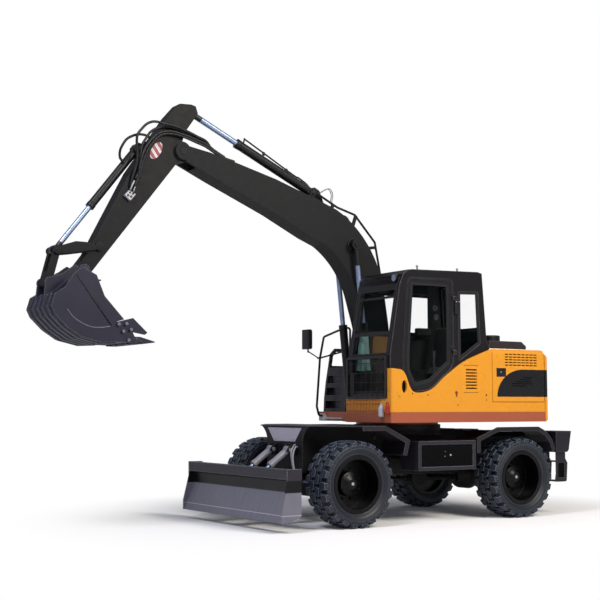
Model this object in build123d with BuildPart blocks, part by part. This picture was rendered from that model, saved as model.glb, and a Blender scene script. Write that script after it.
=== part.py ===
import os
from math import hypot

from build123d import *

os.makedirs("parts", exist_ok=True)

# Wheeled excavator. X points forward, Y to the left, Z up, the ground is at Z = 0.
# Lengths along X are measured from the slew axis, which stands at slew_x in the part's own frame.
slew_x = -1525

# Wheels and axles
front_axle_x = 1500
rear_axle_x = -1200
tyre_radius = 530
lug_height = 26
tyre_width = 430
tyre_centre_y = 992
rim_radius = 330
rim_width = 330
disc_thickness = 16
hub_radius = 150
hub_inner_y = 880
hub_cap_y = 1056
spindle_radius = 60
axle_z = tyre_radius
axle_radius = 95
differential_radius = 205
kingpin_y = 740
kingpin_radius = 30
fit = 0.3

# Chassis
chassis_half = 420
chassis_top = 1160
chassis_bottom = 580
axle_arch = 745
plate = 16
front_face_x = 1820
rear_face_x = -1850
deck_top = 1235
deck_plate = 12
box_half = 1150
box_inner = 770
fender_half = box_half
fender_inner = 600
fender_skirt = 60

# Slewing joint
ring_radius = 590
ring_height = 74

# House
house_bottom = 1272
deck_z = 1403
belt_z = 1531
house_half = 1227
house_top = 2245
panel = 30
seam = 6
tail_radius = 2045
tail_seam_x = -1588
fire_wall_x = -640

# Cab
cab_inner = 295
cab_outer = house_half - 37
cab_wall = 50
cab_floor = 1412
glass = 6

# Boom, arm and bucket pins, each as a distance from the slew axis and a height
boom_foot = (290, 1700)
boom_cylinder_foot = (616, 1480)
boom_cylinder_head = (852, 3625)
arm_pivot = (3385, 4605)
arm_cylinder_foot = (1395, 4295)
arm_cylinder_head = (3235, 5140)
bucket_cylinder_foot = (3953, 4591)
rocker_pivot = (4468, 3347)
rocker_head = (4978, 3275)
link_foot = (5076, 2894)
bucket_pivot = (4655, 3055)
boom_half = 150
arm_half = 105
bucket_half = 400
cylinder_y = 230
side_gap = 5

# Blade
blade_half = 1232
blade_pivot = (1890, 470)
blade_cylinder_foot = (1900, 930)
blade_cylinder_head = (2330, 620)


def side(y):
    """Upright plane along the machine: its x is measured from the slew axis, its y is the height."""
    return Plane(origin=(slew_x, y, 0), x_dir=(1, 0, 0), z_dir=(0, -1, 0))


def level(z):
    """Flat plane at height z, with its origin on the slew axis."""
    return Plane(origin=(slew_x, 0, z))


def across(x):
    """Upright plane across the machine: its x points to the left, its y is the height."""
    return Plane(origin=(slew_x + x, 0, 0), x_dir=(0, 1, 0), z_dir=(1, 0, 0))


def along(start, end, y):
    """Plane at the start pin, facing the end pin."""
    direction = (end[0] - start[0], 0, end[1] - start[1])
    return Plane(origin=(slew_x + start[0], y, start[1]), x_dir=(0, 1, 0), z_dir=direction)


def span(start, end):
    return hypot(end[0] - start[0], end[1] - start[1])


def strip(points, depth):
    """Outline of a bent sheet: the points, then the same path moved by depth to its right side."""
    moved = []
    for index, point in enumerate(points):
        before = points[max(index - 1, 0)]
        after = points[min(index + 1, len(points) - 1)]
        turns = []
        for start, end in ((before, point), (point, after)):
            length = hypot(end[0] - start[0], end[1] - start[1])
            if length > 0:
                turns.append(((end[1] - start[1]) / length, -(end[0] - start[0]) / length))
        normal = (sum(t[0] for t in turns), sum(t[1] for t in turns))
        scale = depth * 2 / (normal[0] ** 2 + normal[1] ** 2) if len(turns) == 2 else depth
        moved.append((point[0] + normal[0] * scale, point[1] + normal[1] * scale))
    return list(points) + moved[::-1]


# Chassis: a closed box girder with a slew seat on top, a front box for the blade,
# arches over both axles and outriggers for the boxes between and behind the wheels.
front_box_x = 650
girder = [
    (rear_face_x, 1100), (rear_face_x, 760), (-1520, axle_arch), (-900, axle_arch), (-780, chassis_bottom),
    (1080, chassis_bottom), (1200, axle_arch), (1700, axle_arch), (1760, 640), (front_face_x, 640),
    (front_face_x, deck_top - deck_plate), (front_box_x, deck_top - deck_plate), (front_box_x, chassis_top),
    (-800, chassis_top), (-880, 1100),
]
cavity = [
    (rear_face_x + plate, 1100 - plate), (rear_face_x + plate, 780), (-1500, axle_arch + plate),
    (-890, axle_arch + plate), (-770, chassis_bottom + plate), (1070, chassis_bottom + plate),
    (1190, axle_arch + plate), (1720, axle_arch + plate), (front_face_x - plate, 740),
    (front_face_x - plate, deck_top - deck_plate - plate),
    (front_box_x + plate, deck_top - deck_plate - plate),
    (front_box_x + plate, chassis_top - plate), (-800, chassis_top - plate), (-860, 1100 - plate),
]
hanger_x = (-300, 400)
pivot_ear_y = 300
cylinder_ear_y = 200
ear = 24
blade_eye_half = 40
with BuildPart() as chassis:
    with BuildSketch(side(0)):
        with BuildLine():
            Polyline(girder, close=True)
        make_face()
    extrude(amount=chassis_half, both=True)
    with BuildSketch(side(0)):
        with BuildLine():
            Polyline(cavity, close=True)
        make_face()
    extrude(amount=chassis_half - plate, both=True, mode=Mode.SUBTRACT)
    with BuildSketch(level(chassis_top - 60)):
        Circle(ring_radius + 8)
    extrude(amount=60)
    with BuildSketch(level(chassis_bottom - 1)):
        Circle(140)
    extrude(amount=chassis_top, mode=Mode.SUBTRACT)
    # hangers for the side boxes and the crosspiece that carries the rear boxes
    for x in hanger_x:
        for y in (box_inner, plate - chassis_half):
            with BuildSketch(side(y)):
                with Locations((x, 850)):
                    Rectangle(80, 120)
            extrude(amount=box_inner - chassis_half + plate)
    with BuildSketch(side(0)):
        with Locations((rear_face_x - 55, 990)):
            Rectangle(110, 180)
    extrude(amount=box_inner, both=True)
    # ears for the push arms and the blade cylinders
    for y in (-pivot_ear_y, pivot_ear_y):
        for shift in (blade_eye_half + side_gap, -blade_eye_half - side_gap - ear):
            with BuildSketch(side(y + shift + ear)):
                with BuildLine():
                    Polyline(
                        (front_face_x - 60, 700), (front_face_x - 60, 640),
                        (blade_pivot[0] - 95, blade_pivot[1]),
                        (blade_pivot[0], blade_pivot[1] - 75), (blade_pivot[0] + 75, blade_pivot[1]),
                        (front_face_x + 20, 640), (front_face_x, 700), close=True,
                    )
                make_face()
                with Locations(blade_pivot):
                    Circle(28, mode=Mode.SUBTRACT)
            extrude(amount=ear)
    for y in (-cylinder_ear_y, cylinder_ear_y):
        for shift in (blade_eye_half + side_gap, -blade_eye_half - side_gap - ear):
            with BuildSketch(side(y + shift + ear)):
                with BuildLine():
                    Polyline(
                        (front_face_x - 8, 850), (blade_cylinder_foot[0], 870),
                        (blade_cylinder_foot[0] + 50, 930),
                        (blade_cylinder_foot[0], 990), (front_face_x - 8, 1010), close=True,
                    )
                make_face()
                with Locations(blade_cylinder_foot):
                    Circle(25, mode=Mode.SUBTRACT)
            extrude(amount=ear)
chassis.part.label = "chassis"
export_step(chassis.part, "parts/chassis.step")

# Slew ring, bolted on the seat of the chassis and just clear of the turning house
with BuildPart() as slew_ring:
    with BuildSketch(level(chassis_top)):
        Circle(ring_radius)
        Circle(ring_radius - 110, mode=Mode.SUBTRACT)
    extrude(amount=ring_height)
slew_ring.part.label = "slew_ring"
export_step(slew_ring.part, "parts/slew_ring.step")

# Decks and fenders of bent sheet, each with a skirt along its outer edge
front_fender = [(1410, deck_top), (1050, deck_top), (677, 1051), (732, 860)]
rear_fender_top = 1142
rear_fender = [
    (-493, 868), (-493, 1026), (-804, rear_fender_top), (-1523, rear_fender_top), (-1640, 1090),
    (-1740, 990),
    (-1790, 860),
]
front_plan = [
    (front_box_x, chassis_half), (front_box_x, fender_inner), (1050, fender_inner), (1050, fender_half),
    (1410, fender_half), (front_face_x + 20, 570), (front_face_x + 20, 0), (front_box_x, 0),
]
gusset_reach = 145
gusset_height = 195
gusset_radius = 260
with BuildPart() as decks:
    with BuildSketch(level(deck_top - deck_plate)):
        with BuildLine():
            Polyline(front_plan, close=True)
        make_face()
        mirror(about=Plane.XZ)
    extrude(amount=deck_plate)
    for y in (fender_half, -fender_inner):
        with BuildSketch(side(y)):
            Polygon(*strip(front_fender[::-1], deck_plate), align=None)
        extrude(amount=fender_half - fender_inner)
    for y in (fender_half, -fender_half + deck_plate):
        with BuildSketch(side(y)):
            Polygon(*strip(front_fender[::-1], fender_skirt), align=None)
        extrude(amount=deck_plate)
    # flared gussets that carry the deck on the front box
    for x in (front_box_x + 40, front_face_x - 10):
        with BuildSketch(across(x)):
            with BuildLine():
                Line((chassis_half, deck_top - gusset_height), (chassis_half, deck_top - deck_plate))
                Line(
                    (chassis_half, deck_top - deck_plate),
                    (chassis_half + gusset_reach, deck_top - deck_plate),
                )
                RadiusArc((chassis_half + gusset_reach, deck_top - deck_plate),
                          (chassis_half, deck_top - gusset_height), -gusset_radius)
            make_face()
            mirror(about=Plane.YZ)
        extrude(amount=deck_plate)
    for y in (fender_half, -fender_inner):
        with BuildSketch(side(y)):
            Polygon(*strip(rear_fender, deck_plate), align=None)
        extrude(amount=fender_half - fender_inner)
    for y in (fender_half, -fender_half + deck_plate):
        with BuildSketch(side(y)):
            Polygon(*strip(rear_fender, fender_skirt), align=None)
        extrude(amount=deck_plate)
    # cross plate over the girder that joins both fenders
    with BuildSketch(level(rear_fender_top - deck_plate)):
        with Locations((-1200, 0)):
            Rectangle(560, 2 * fender_inner + 20)
    extrude(amount=deck_plate)
    with BuildSketch(side(0)):
        with Locations((-1200, (1100 + rear_fender_top - deck_plate) / 2)):
            Rectangle(400, rear_fender_top - deck_plate - 1100)
    extrude(amount=300, both=True)
decks.part.label = "decks"
export_step(decks.part, "parts/decks.step")

# Storage boxes between the wheels: a sheet box with a raised frame round its outer face
box_front_x = 545
box_rear_x = -405
box_bottom = 662
box_height = 374
box_sheet = 6
with BuildPart() as side_boxes:
    with BuildSketch(level(box_bottom)):
        with Locations(((box_front_x + box_rear_x) / 2, (box_half + box_inner) / 2)):
            Rectangle(box_front_x - box_rear_x, box_half - box_inner)
    extrude(amount=box_height)
    with BuildSketch(side(box_half)):
        with Locations(((box_front_x + box_rear_x) / 2, box_bottom + box_height / 2)):
            Rectangle(box_front_x - box_rear_x - 90, box_height - 90)
    extrude(amount=12, mode=Mode.SUBTRACT)
    with BuildSketch(level(box_bottom + box_sheet)):
        with Locations(((box_front_x + box_rear_x) / 2, (box_half - 12 + box_inner) / 2)):
            Rectangle(box_front_x - box_rear_x - 2 * box_sheet, box_half - 12 - box_inner - 2 * box_sheet)
    extrude(amount=box_height - 2 * box_sheet, mode=Mode.SUBTRACT)
    mirror(about=Plane.XZ)
side_boxes.part.label = "side_boxes"
export_step(side_boxes.part, "parts/side_boxes.step")

# Rear boxes at the corners, with their chamfered lower edge, and the steps hung below them
rear_box_front_x = rear_face_x - 10
rear_box_rear_x = -2150
rear_box_bottom = 850
rear_box_top = 1138
step_bottom = 445
with BuildPart() as rear_boxes:
    with BuildSketch(side(box_half)):
        with BuildLine():
            Polyline(
                (rear_box_front_x, rear_box_top), (rear_box_rear_x, rear_box_top),
                (rear_box_rear_x + 50, rear_box_bottom + 30), (rear_box_rear_x + 80, rear_box_bottom),
                (rear_box_front_x, rear_box_bottom), close=True,
            )
        make_face()
    extrude(amount=box_half - box_inner)
    with BuildSketch(side(box_half - box_sheet)):
        with BuildLine():
            Polyline(
                (rear_box_front_x - box_sheet, rear_box_top - 20),
                (rear_box_rear_x + 10, rear_box_top - 20),
                (rear_box_rear_x + 58, rear_box_bottom + 36),
                (rear_box_rear_x + 84, rear_box_bottom + box_sheet),
                (rear_box_front_x - box_sheet, rear_box_bottom + box_sheet), close=True,
            )
        make_face()
    extrude(amount=box_half - box_inner - 2 * box_sheet, mode=Mode.SUBTRACT)
    for y in (box_half - 30, box_inner + 50):
        with BuildSketch(side(y)):
            with BuildLine():
                Polyline(
                    (-1880, rear_box_bottom), (-1880, 560), (-1860, step_bottom), (-2080, step_bottom),
                    (-2100, 700), (-2060, 760), (-2060, rear_box_bottom), close=True,
                )
            make_face()
            fillet(vertices().group_by(Axis.Y)[0], 30)
            with Locations((-1980, 600)):
                RectangleRounded(120, 200, 20, mode=Mode.SUBTRACT)
        extrude(amount=10)
    for x, z in ((-1980, step_bottom + 8), (-1980, 720)):
        with BuildSketch(side(box_half - 35)):
            with Locations((x, z)):
                Rectangle(150, 16)
        extrude(amount=box_half - box_inner - 80)
    mirror(about=Plane.XZ)
rear_boxes.part.label = "rear_boxes"
export_step(rear_boxes.part, "parts/rear_boxes.step")

# Axles: a tube beam with a round differential case, seats under the girder, and at the ends
# a forked yoke for the kingpins in front or a spindle for the wheel behind
yoke_reach = 55
yoke_half = 70
yoke_gap = 62
arm_reach = 190


def axle_beam(x, tube_end):
    with BuildPart() as beam:
        with BuildSketch(side(0)):
            with Locations((x, axle_z)):
                Circle(axle_radius)
        extrude(amount=tube_end, both=True)
        with BuildSketch(Plane(origin=(slew_x + x, 0, axle_z), x_dir=(1, 0, 0), z_dir=(0, 0, 1))):
            with BuildLine():
                Line((0, -260), (0, 260))
                Polyline((0, 260), (axle_radius, 250), (differential_radius, 90), (differential_radius, -90),
                         (axle_radius, -250), (0, -260))
            make_face()
        revolve(axis=Axis((slew_x + x, 0, axle_z), (0, 1, 0)), revolution_arc=360)
        for y in (chassis_half, -chassis_half + 120):
            with BuildSketch(side(y)):
                with Locations((x, (axle_z + axle_arch) / 2)):
                    Rectangle(200, axle_arch - axle_z)
            extrude(amount=120)
    return beam.part


with BuildPart() as front_axle:
    add(axle_beam(front_axle_x, kingpin_y - yoke_half - yoke_reach))
    for height in (axle_z + yoke_gap, axle_z - yoke_gap - 30):
        with BuildSketch(level(height)):
            with BuildLine():
                Polyline(
                    (front_axle_x - yoke_half, kingpin_y - yoke_half - yoke_reach - 60),
                    (front_axle_x - yoke_half, kingpin_y), (front_axle_x + yoke_half, kingpin_y),
                    (front_axle_x + yoke_half, kingpin_y - yoke_half - yoke_reach - 60), close=True,
                )
            make_face()
            with Locations((front_axle_x, kingpin_y)):
                Circle(yoke_half)
                Circle(kingpin_radius + fit, mode=Mode.SUBTRACT)
            mirror(about=Plane.XZ)
        extrude(amount=30)
    for y in (1, -1):
        with BuildSketch(side(y * (kingpin_y - yoke_half - yoke_reach) + 30)):
            with Locations((front_axle_x, axle_z)):
                RectangleRounded(2 * yoke_half, 2 * yoke_gap + 60, 10)
        extrude(amount=60)
    # steering cylinder barrel ahead of the beam, on two feet
    with BuildSketch(side(0)):
        with Locations((front_axle_x + arm_reach, axle_z)):
            Circle(48)
    extrude(amount=190, both=True)
    with BuildSketch(side(0)):
        with Locations((front_axle_x + arm_reach, axle_z)):
            Circle(20 + fit)
    extrude(amount=200, both=True, mode=Mode.SUBTRACT)
    for y in (150, -110):
        with BuildSketch(side(y)):
            with Locations((front_axle_x + 120, axle_z)):
                Rectangle(80, 60)
        extrude(amount=40)
front_axle.part.label = "front_axle"
export_step(front_axle.part, "parts/front_axle.step")

with BuildPart() as rear_axle:
    add(axle_beam(rear_axle_x, hub_inner_y - 30))
    for y in (1, -1):
        with BuildSketch(side(y * (hub_inner_y - 45) + 15)):
            with Locations((rear_axle_x, axle_z)):
                Circle(hub_radius)
        extrude(amount=30)
    with BuildSketch(side(0)):
        with Locations((rear_axle_x, axle_z)):
            Circle(spindle_radius)
    extrude(amount=hub_cap_y - 30, both=True)
rear_axle.part.label = "rear_axle"
export_step(rear_axle.part, "parts/rear_axle.step")

# Transfer gearbox under the girder and a propeller shaft to each axle
gearbox_x = -300
shaft_radius = 35
with BuildPart() as drive_line:
    with BuildSketch(side(0)):
        with BuildLine():
            Polyline(
                (gearbox_x - 130, chassis_bottom), (gearbox_x - 130, 470), (gearbox_x - 70, 400),
                (gearbox_x + 70, 400), (gearbox_x + 130, 470), (gearbox_x + 130, chassis_bottom),
                close=True,
            )
        make_face()
    extrude(amount=110, both=True)
    for start, end in ((gearbox_x + 130, front_axle_x - differential_radius - 1),
                       (rear_axle_x + differential_radius + 1, gearbox_x - 130)):
        with BuildSketch(across(start)):
            with Locations((0, axle_z - 40)):
                Circle(shaft_radius)
        extrude(amount=end - start)
        for x in (start, end - 24):
            with BuildSketch(across(x)):
                with Locations((0, axle_z - 40)):
                    Circle(70)
            extrude(amount=24)
drive_line.part.label = "drive_line"
export_step(drive_line.part, "parts/drive_line.step")

# Steering knuckles: a block between the yoke plates, its kingpin stubs, the spindle for the hub
# and an arm to the front for the steering rod
rod_pin_radius = 12
arm_hole_radius = 40
arm_eye_y = kingpin_y


def knuckle(hand):
    with BuildPart() as block:
        with BuildSketch(level(axle_z - yoke_gap + fit)):
            with Locations((front_axle_x, hand * kingpin_y)):
                Circle(58)
        extrude(amount=2 * (yoke_gap - fit))
        with BuildSketch(level(axle_z - yoke_gap - 34)):
            with Locations((front_axle_x, hand * kingpin_y)):
                Circle(kingpin_radius)
        extrude(amount=2 * yoke_gap + 68)
        with BuildSketch(side(hand * (kingpin_y + hub_cap_y - 30) / 2)):
            with Locations((front_axle_x, axle_z)):
                Circle(spindle_radius)
        extrude(amount=(hub_cap_y - 30 - kingpin_y) / 2, both=True)
        with BuildSketch(side(hand * (hub_inner_y - 20))):
            with Locations((front_axle_x, axle_z)):
                Circle(hub_radius - 20)
        extrude(amount=15, both=True)
        with BuildSketch(level(axle_z - 16)):
            with BuildLine():
                Polyline(
                    (front_axle_x + 30, hand * (kingpin_y + 40)),
                    (front_axle_x + arm_reach, hand * (arm_eye_y + 50)),
                    (front_axle_x + arm_reach, hand * (arm_eye_y - 50)),
                    (front_axle_x + 30, hand * (kingpin_y - 40)),
                    close=True,
                )
            make_face()
            with Locations((front_axle_x + arm_reach, hand * arm_eye_y)):
                Circle(arm_hole_radius + 24)
                Circle(arm_hole_radius, mode=Mode.SUBTRACT)
        extrude(amount=32)
    return block.part


knuckle_left = knuckle(1)
knuckle_left.label = "knuckle_left"
export_step(knuckle_left, "parts/knuckle_left.step")
knuckle_right = knuckle(-1)
knuckle_right.label = "knuckle_right"
export_step(knuckle_right, "parts/knuckle_right.step")

# Steering rod through the barrel: at each end a fork over the knuckle arm, with its pin
with BuildPart() as steering_rod:
    with BuildSketch(side(0)):
        with Locations((front_axle_x + arm_reach, axle_z)):
            Circle(20)
    extrude(amount=arm_eye_y - 100, both=True)
    for hand in (1, -1):
        for height in (axle_z + 22, axle_z - 36):
            with BuildSketch(level(height)):
                with Locations((front_axle_x + arm_reach, hand * (arm_eye_y - 50))):
                    Rectangle(56, 128)
                with Locations((front_axle_x + arm_reach, hand * arm_eye_y)):
                    Circle(28)
            extrude(amount=14)
        with BuildSketch(level(axle_z - 36)):
            with Locations((front_axle_x + arm_reach, hand * (arm_eye_y - 107))):
                Rectangle(56, 14)
            with Locations((front_axle_x + arm_reach, hand * arm_eye_y)):
                Circle(rod_pin_radius)
        extrude(amount=72)
steering_rod.part.label = "steering_rod"
export_step(steering_rod.part, "parts/steering_rod.step")

# Tyres and rims; each row gives a name, the axle and the side
wheel_names = ("front_left", "front_right", "rear_left", "rear_right")
wheel_axles = (front_axle_x, front_axle_x, rear_axle_x, rear_axle_x)
wheel_hands = (1, -1, 1, -1)
half_rim = rim_width / 2
half_tyre = tyre_width / 2
tyre_outside = [
    (rim_radius + fit, half_rim - 4), (rim_radius + 36, half_rim - 4), (rim_radius + 60, half_rim + 28),
    (rim_radius + 100, half_tyre), (tyre_radius - 34, half_tyre), (tyre_radius, half_tyre - 32),
]
tyre_inside = [
    (rim_radius + fit, half_rim - 40), (rim_radius + 100, half_tyre - 28),
    (tyre_radius - 56, half_tyre - 50),
]
rim_well = rim_radius - 24
disc_back = hub_inner_y + 20 - tyre_centre_y
hub_back = hub_inner_y - tyre_centre_y
hub_face = hub_cap_y - tyre_centre_y
spindle_end = hub_cap_y - 30 - tyre_centre_y
rim_section = [
    (0, hub_face), (60, hub_face), (100, hub_face - 24), (hub_radius, hub_face - 44),
    (hub_radius, disc_back + disc_thickness), (rim_well, disc_back + disc_thickness),
    (rim_well, half_rim + 12),
    (rim_radius + 22, half_rim + 12), (rim_radius + 22, half_rim), (rim_radius, half_rim),
    (rim_radius, -half_rim), (rim_radius + 22, -half_rim), (rim_radius + 22, -half_rim - 12),
    (rim_well, -half_rim - 12), (rim_well, disc_back), (hub_radius, disc_back), (hub_radius, hub_back),
    (spindle_radius + fit, hub_back), (spindle_radius + fit, spindle_end + 1), (0, spindle_end + 1),
]
# The tread is cut, on each half, by slanted grooves that run out at the shoulder; the grooves of
# one half stand midway between those of the other.
groove_count = 14
groove_width = 72
groove_inner_y = 22
groove_slant = 20
with BuildPart() as tread:
    with BuildSketch(Plane.XY):
        with BuildLine():
            inner_path = [(r, -y) for r, y in tyre_inside] + tyre_inside[::-1]
            Polyline(*(tyre_outside + [(r, -y) for r, y in tyre_outside[::-1]] + inner_path), close=True)
        make_face()
    revolve(axis=Axis.Y)
with BuildPart() as grooves:
    for hand in (1, -1):
        for step in range(groove_count):
            turn = (step + (0.5 if hand < 0 else 0)) * 360 / groove_count
            spot = Rotation(0, turn, 0) * Location(
                (0, hand * (groove_inner_y + half_tyre / 2), tyre_radius),
            )
            with Locations(spot * Rotation(0, 0, -hand * groove_slant)):
                Box(groove_width, half_tyre, 2 * lug_height)
tread_tyre = tread.part - grooves.part

for name, axle_x, hand in zip(wheel_names, wheel_axles, wheel_hands):
    centre = (slew_x + axle_x, hand * tyre_centre_y, axle_z)
    wheel_plane = Plane(origin=centre, x_dir=(1, 0, 0), z_dir=(0, 0, hand))
    wheel_axis = Axis(centre, (0, 1, 0))
    with BuildPart() as tyre:
        add(tread_tyre.moved(Location(centre)))
    tyre.part.label = "tyre_" + name
    export_step(tyre.part, "parts/tyre_" + name + ".step")
    with BuildPart() as rim:
        with BuildSketch(wheel_plane):
            with BuildLine():
                Polyline(*rim_section, close=True)
            make_face()
        revolve(axis=wheel_axis)
    rim.part.label = "rim_" + name
    export_step(rim.part, "parts/rim_" + name + ".step")

# Blade: a closed box section behind the mouldboard with end plates, two push arms with their
# pins and ears for the cylinders
blade_section = [
    (2385, 735), (2556, 741), (2552, 625), (2484, 600), (2478, 470), (2600, 210), (2635, 121), (2600, 119),
    (2385, 200),
]
blade_end = [(2362, 745), (2562, 748), (2560, 560), (2640, 240), (2640, 119), (2590, 119), (2362, 190)]
end_plate = 24
with BuildPart() as blade:
    with BuildSketch(side(0)):
        with BuildLine():
            Polyline(*blade_section, close=True)
        make_face()
        offset(amount=-plate, mode=Mode.SUBTRACT)
    extrude(amount=blade_half - end_plate, both=True)
    for y in (blade_half, -blade_half + end_plate):
        with BuildSketch(side(y)):
            with BuildLine():
                Polyline(*blade_end, close=True)
            make_face()
        extrude(amount=end_plate)
    for y in (-pivot_ear_y, pivot_ear_y):
        with BuildSketch(side(y + blade_eye_half)):
            with BuildLine():
                Polyline(
                    (blade_pivot[0] - 20, 528), (2390, 440), (2390, 210), (2280, 230),
                    (blade_pivot[0] - 20, 412),
                    close=True,
                )
            make_face()
            with Locations(blade_pivot):
                Circle(62)
        extrude(amount=2 * blade_eye_half)
        with BuildSketch(side(y + blade_eye_half + side_gap + ear)):
            with Locations(blade_pivot):
                Circle(28 - fit)
        extrude(amount=2 * (blade_eye_half + side_gap + ear))
    for y in (-cylinder_ear_y, cylinder_ear_y):
        for shift in (blade_eye_half + side_gap, -blade_eye_half - side_gap - ear):
            with BuildSketch(side(y + shift + ear)):
                with BuildLine():
                    Polyline((2390, 700), (2330, 672), (2275, 620), (2330, 568), (2390, 540), close=True)
                make_face()
            extrude(amount=ear)
blade.part.label = "blade"
export_step(blade.part, "parts/blade.step")


neck = 25
barrel_bottom = 6
gland_depth = 30


def cylinder(
    foot, head, eye_half, foot_pin, pin_radius, eye_radius, bore, wall, rod_radius, gland, rod_length,
    piston, head_cap,
):
    """Barrel and rod of a cylinder lying in the plane y = 0 between two pins.

    The barrel's eye carries its own pin, which reaches foot_pin to both sides. The rod's eye is
    solid, with a pin head of thickness head_cap on both faces.
    """
    with BuildPart() as tube:
        with BuildSketch(along(foot, head, 0)):
            Rectangle(2 * eye_half, 1.2 * eye_radius)
        extrude(amount=eye_radius + neck + 1)
        with BuildSketch(along(foot, head, 0).offset(eye_radius + neck)):
            Circle(bore + wall)
        extrude(amount=gland - eye_radius - neck)
        with BuildSketch(along(foot, head, 0).offset(gland - 50)):
            Circle(bore + wall + 4)
        extrude(amount=50)
        with BuildSketch(along(foot, head, 0).offset(eye_radius + neck + barrel_bottom)):
            Circle(bore)
        extrude(amount=gland - gland_depth - eye_radius - neck - barrel_bottom, mode=Mode.SUBTRACT)
        with BuildSketch(along(foot, head, 0).offset(gland - gland_depth - 1)):
            Circle(rod_radius + fit)
        extrude(amount=gland_depth + 2, mode=Mode.SUBTRACT)
        with BuildSketch(side(eye_half)):
            with Locations(foot):
                Circle(eye_radius)
        extrude(amount=2 * eye_half)
        with BuildSketch(side(foot_pin)):
            with Locations(foot):
                Circle(pin_radius)
        extrude(amount=2 * foot_pin)
    reach = span(foot, head)
    with BuildPart() as rod:
        with BuildSketch(along(foot, head, 0).offset(reach - rod_length)):
            Circle(bore - fit)
        extrude(amount=piston)
        with BuildSketch(along(foot, head, 0).offset(reach - rod_length)):
            Circle(rod_radius)
        extrude(amount=rod_length)
        with BuildSketch(side(eye_half)):
            with Locations(head):
                Circle(eye_radius)
        extrude(amount=2 * eye_half)
        if head_cap > 0:
            with BuildSketch(side(eye_half + head_cap)):
                with Locations(head):
                    Circle(pin_radius)
            extrude(amount=eye_half)
    return tube.part, rod.part


def pair(single, y):
    """The same piece at both sides of the centre plane."""
    with BuildPart() as both:
        add(single.moved(Location((0, y, 0))))
        mirror(about=Plane.XZ)
    return both.part


barrel, rod = cylinder(
    blade_cylinder_foot, blade_cylinder_head, eye_half=blade_eye_half,
    foot_pin=blade_eye_half + side_gap + ear,
    pin_radius=25 - fit, eye_radius=46, bore=34, wall=9, rod_radius=22, gland=335, rod_length=311,
    piston=24, head_cap=0,
)
for piece, name in ((barrel, "blade_barrels"), (rod, "blade_rods")):
    both = pair(piece, cylinder_ear_y)
    both.label = name
    export_step(both, "parts/" + name + ".step")

platform_front = 1036
skirt_x = 1020.3

# House frame: a hollow platform with the seat of the slew ring
platform = [
    (platform_front, house_half), (platform_front, 262), (720, 262), (720, -262), (460, -262),
    (460, -house_half),
    (tail_seam_x, -house_half), (tail_seam_x, house_half),
]
inner_bracket = (boom_half + 6, boom_half + 36)
outer_bracket = (274, 290)
boom_pin_radius = 50
cylinder_pin_radius = 35
with BuildPart() as house_frame:
    with BuildSketch(level(house_bottom)):
        with BuildLine():
            Polyline(*platform, close=True)
        make_face()
    extrude(amount=deck_z - house_bottom)
    with BuildSketch(level(house_bottom + plate)):
        with BuildLine():
            Polyline(*platform, close=True)
        make_face()
        offset(amount=-plate)
        Circle(ring_radius, mode=Mode.SUBTRACT)
    extrude(amount=deck_z - house_bottom - 2 * plate, mode=Mode.SUBTRACT)
    with BuildSketch(level(chassis_top + ring_height + fit)):
        Circle(ring_radius - 30)
    extrude(amount=house_bottom - chassis_top - ring_height)
    with BuildSketch(level(chassis_top + ring_height)):
        Circle(200)
    extrude(amount=deck_z, mode=Mode.SUBTRACT)
house_frame.part.label = "house_frame"
export_step(house_frame.part, "parts/house_frame.step")

# Brackets on the house frame: an inner plate at each side of the boom foot, and an outer plate
# beyond each boom cylinder
inner_outline = [
    (-50, deck_z + fit), (180, 1760), (290, 1830), (400, 1750), (545, 1560), (616, 1556), (680, 1525),
    (690, deck_z + fit),
]
outer_outline = [(430, deck_z + fit), (560, 1535), (616, 1555), (672, 1535), (690, deck_z + fit)]
with BuildPart() as boom_brackets:
    for hand in (1, -1):
        with BuildSketch(side(max(hand * inner_bracket[0], hand * inner_bracket[1]))):
            Polygon(*inner_outline, align=None)
            with Locations(boom_foot):
                Circle(boom_pin_radius + fit, mode=Mode.SUBTRACT)
            with Locations(boom_cylinder_foot):
                Circle(cylinder_pin_radius + fit, mode=Mode.SUBTRACT)
        extrude(amount=inner_bracket[1] - inner_bracket[0])
        with BuildSketch(side(max(hand * outer_bracket[0], hand * outer_bracket[1]))):
            Polygon(*outer_outline, align=None)
            with Locations(boom_cylinder_foot):
                Circle(cylinder_pin_radius + fit, mode=Mode.SUBTRACT)
        extrude(amount=outer_bracket[1] - outer_bracket[0])
boom_brackets.part.label = "boom_brackets"
export_step(boom_brackets.part, "parts/boom_brackets.step")

# Counterweight: the tail of the house, round in plan, with chamfered top and bottom edges
tail_chamfer = 100
with BuildPart() as counterweight:
    with BuildSketch(side(0)):
        with BuildLine():
            Polyline(
                (0, house_bottom), (-tail_radius + 24, house_bottom), (-tail_radius, house_bottom + 24),
                (-tail_radius, house_top - tail_chamfer), (-tail_radius + tail_chamfer, house_top),
                (0, house_top), close=True,
            )
        make_face()
    revolve(axis=Axis((slew_x, 0, 0), (0, 0, 1)))
    with Locations((slew_x + tail_seam_x - seam - 500, 0, house_top - 500)):
        Box(1000, 2 * house_half, 2000, mode=Mode.INTERSECT)
    # face that is bolted to the platform
    with BuildSketch(across(tail_seam_x - fit)):
        with Locations((0, (house_bottom + deck_z) / 2)):
            Rectangle(2 * house_half - 100, deck_z - house_bottom - 24)
    extrude(amount=-seam)
counterweight.part.label = "counterweight"
export_step(counterweight.part, "parts/counterweight.step")

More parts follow.
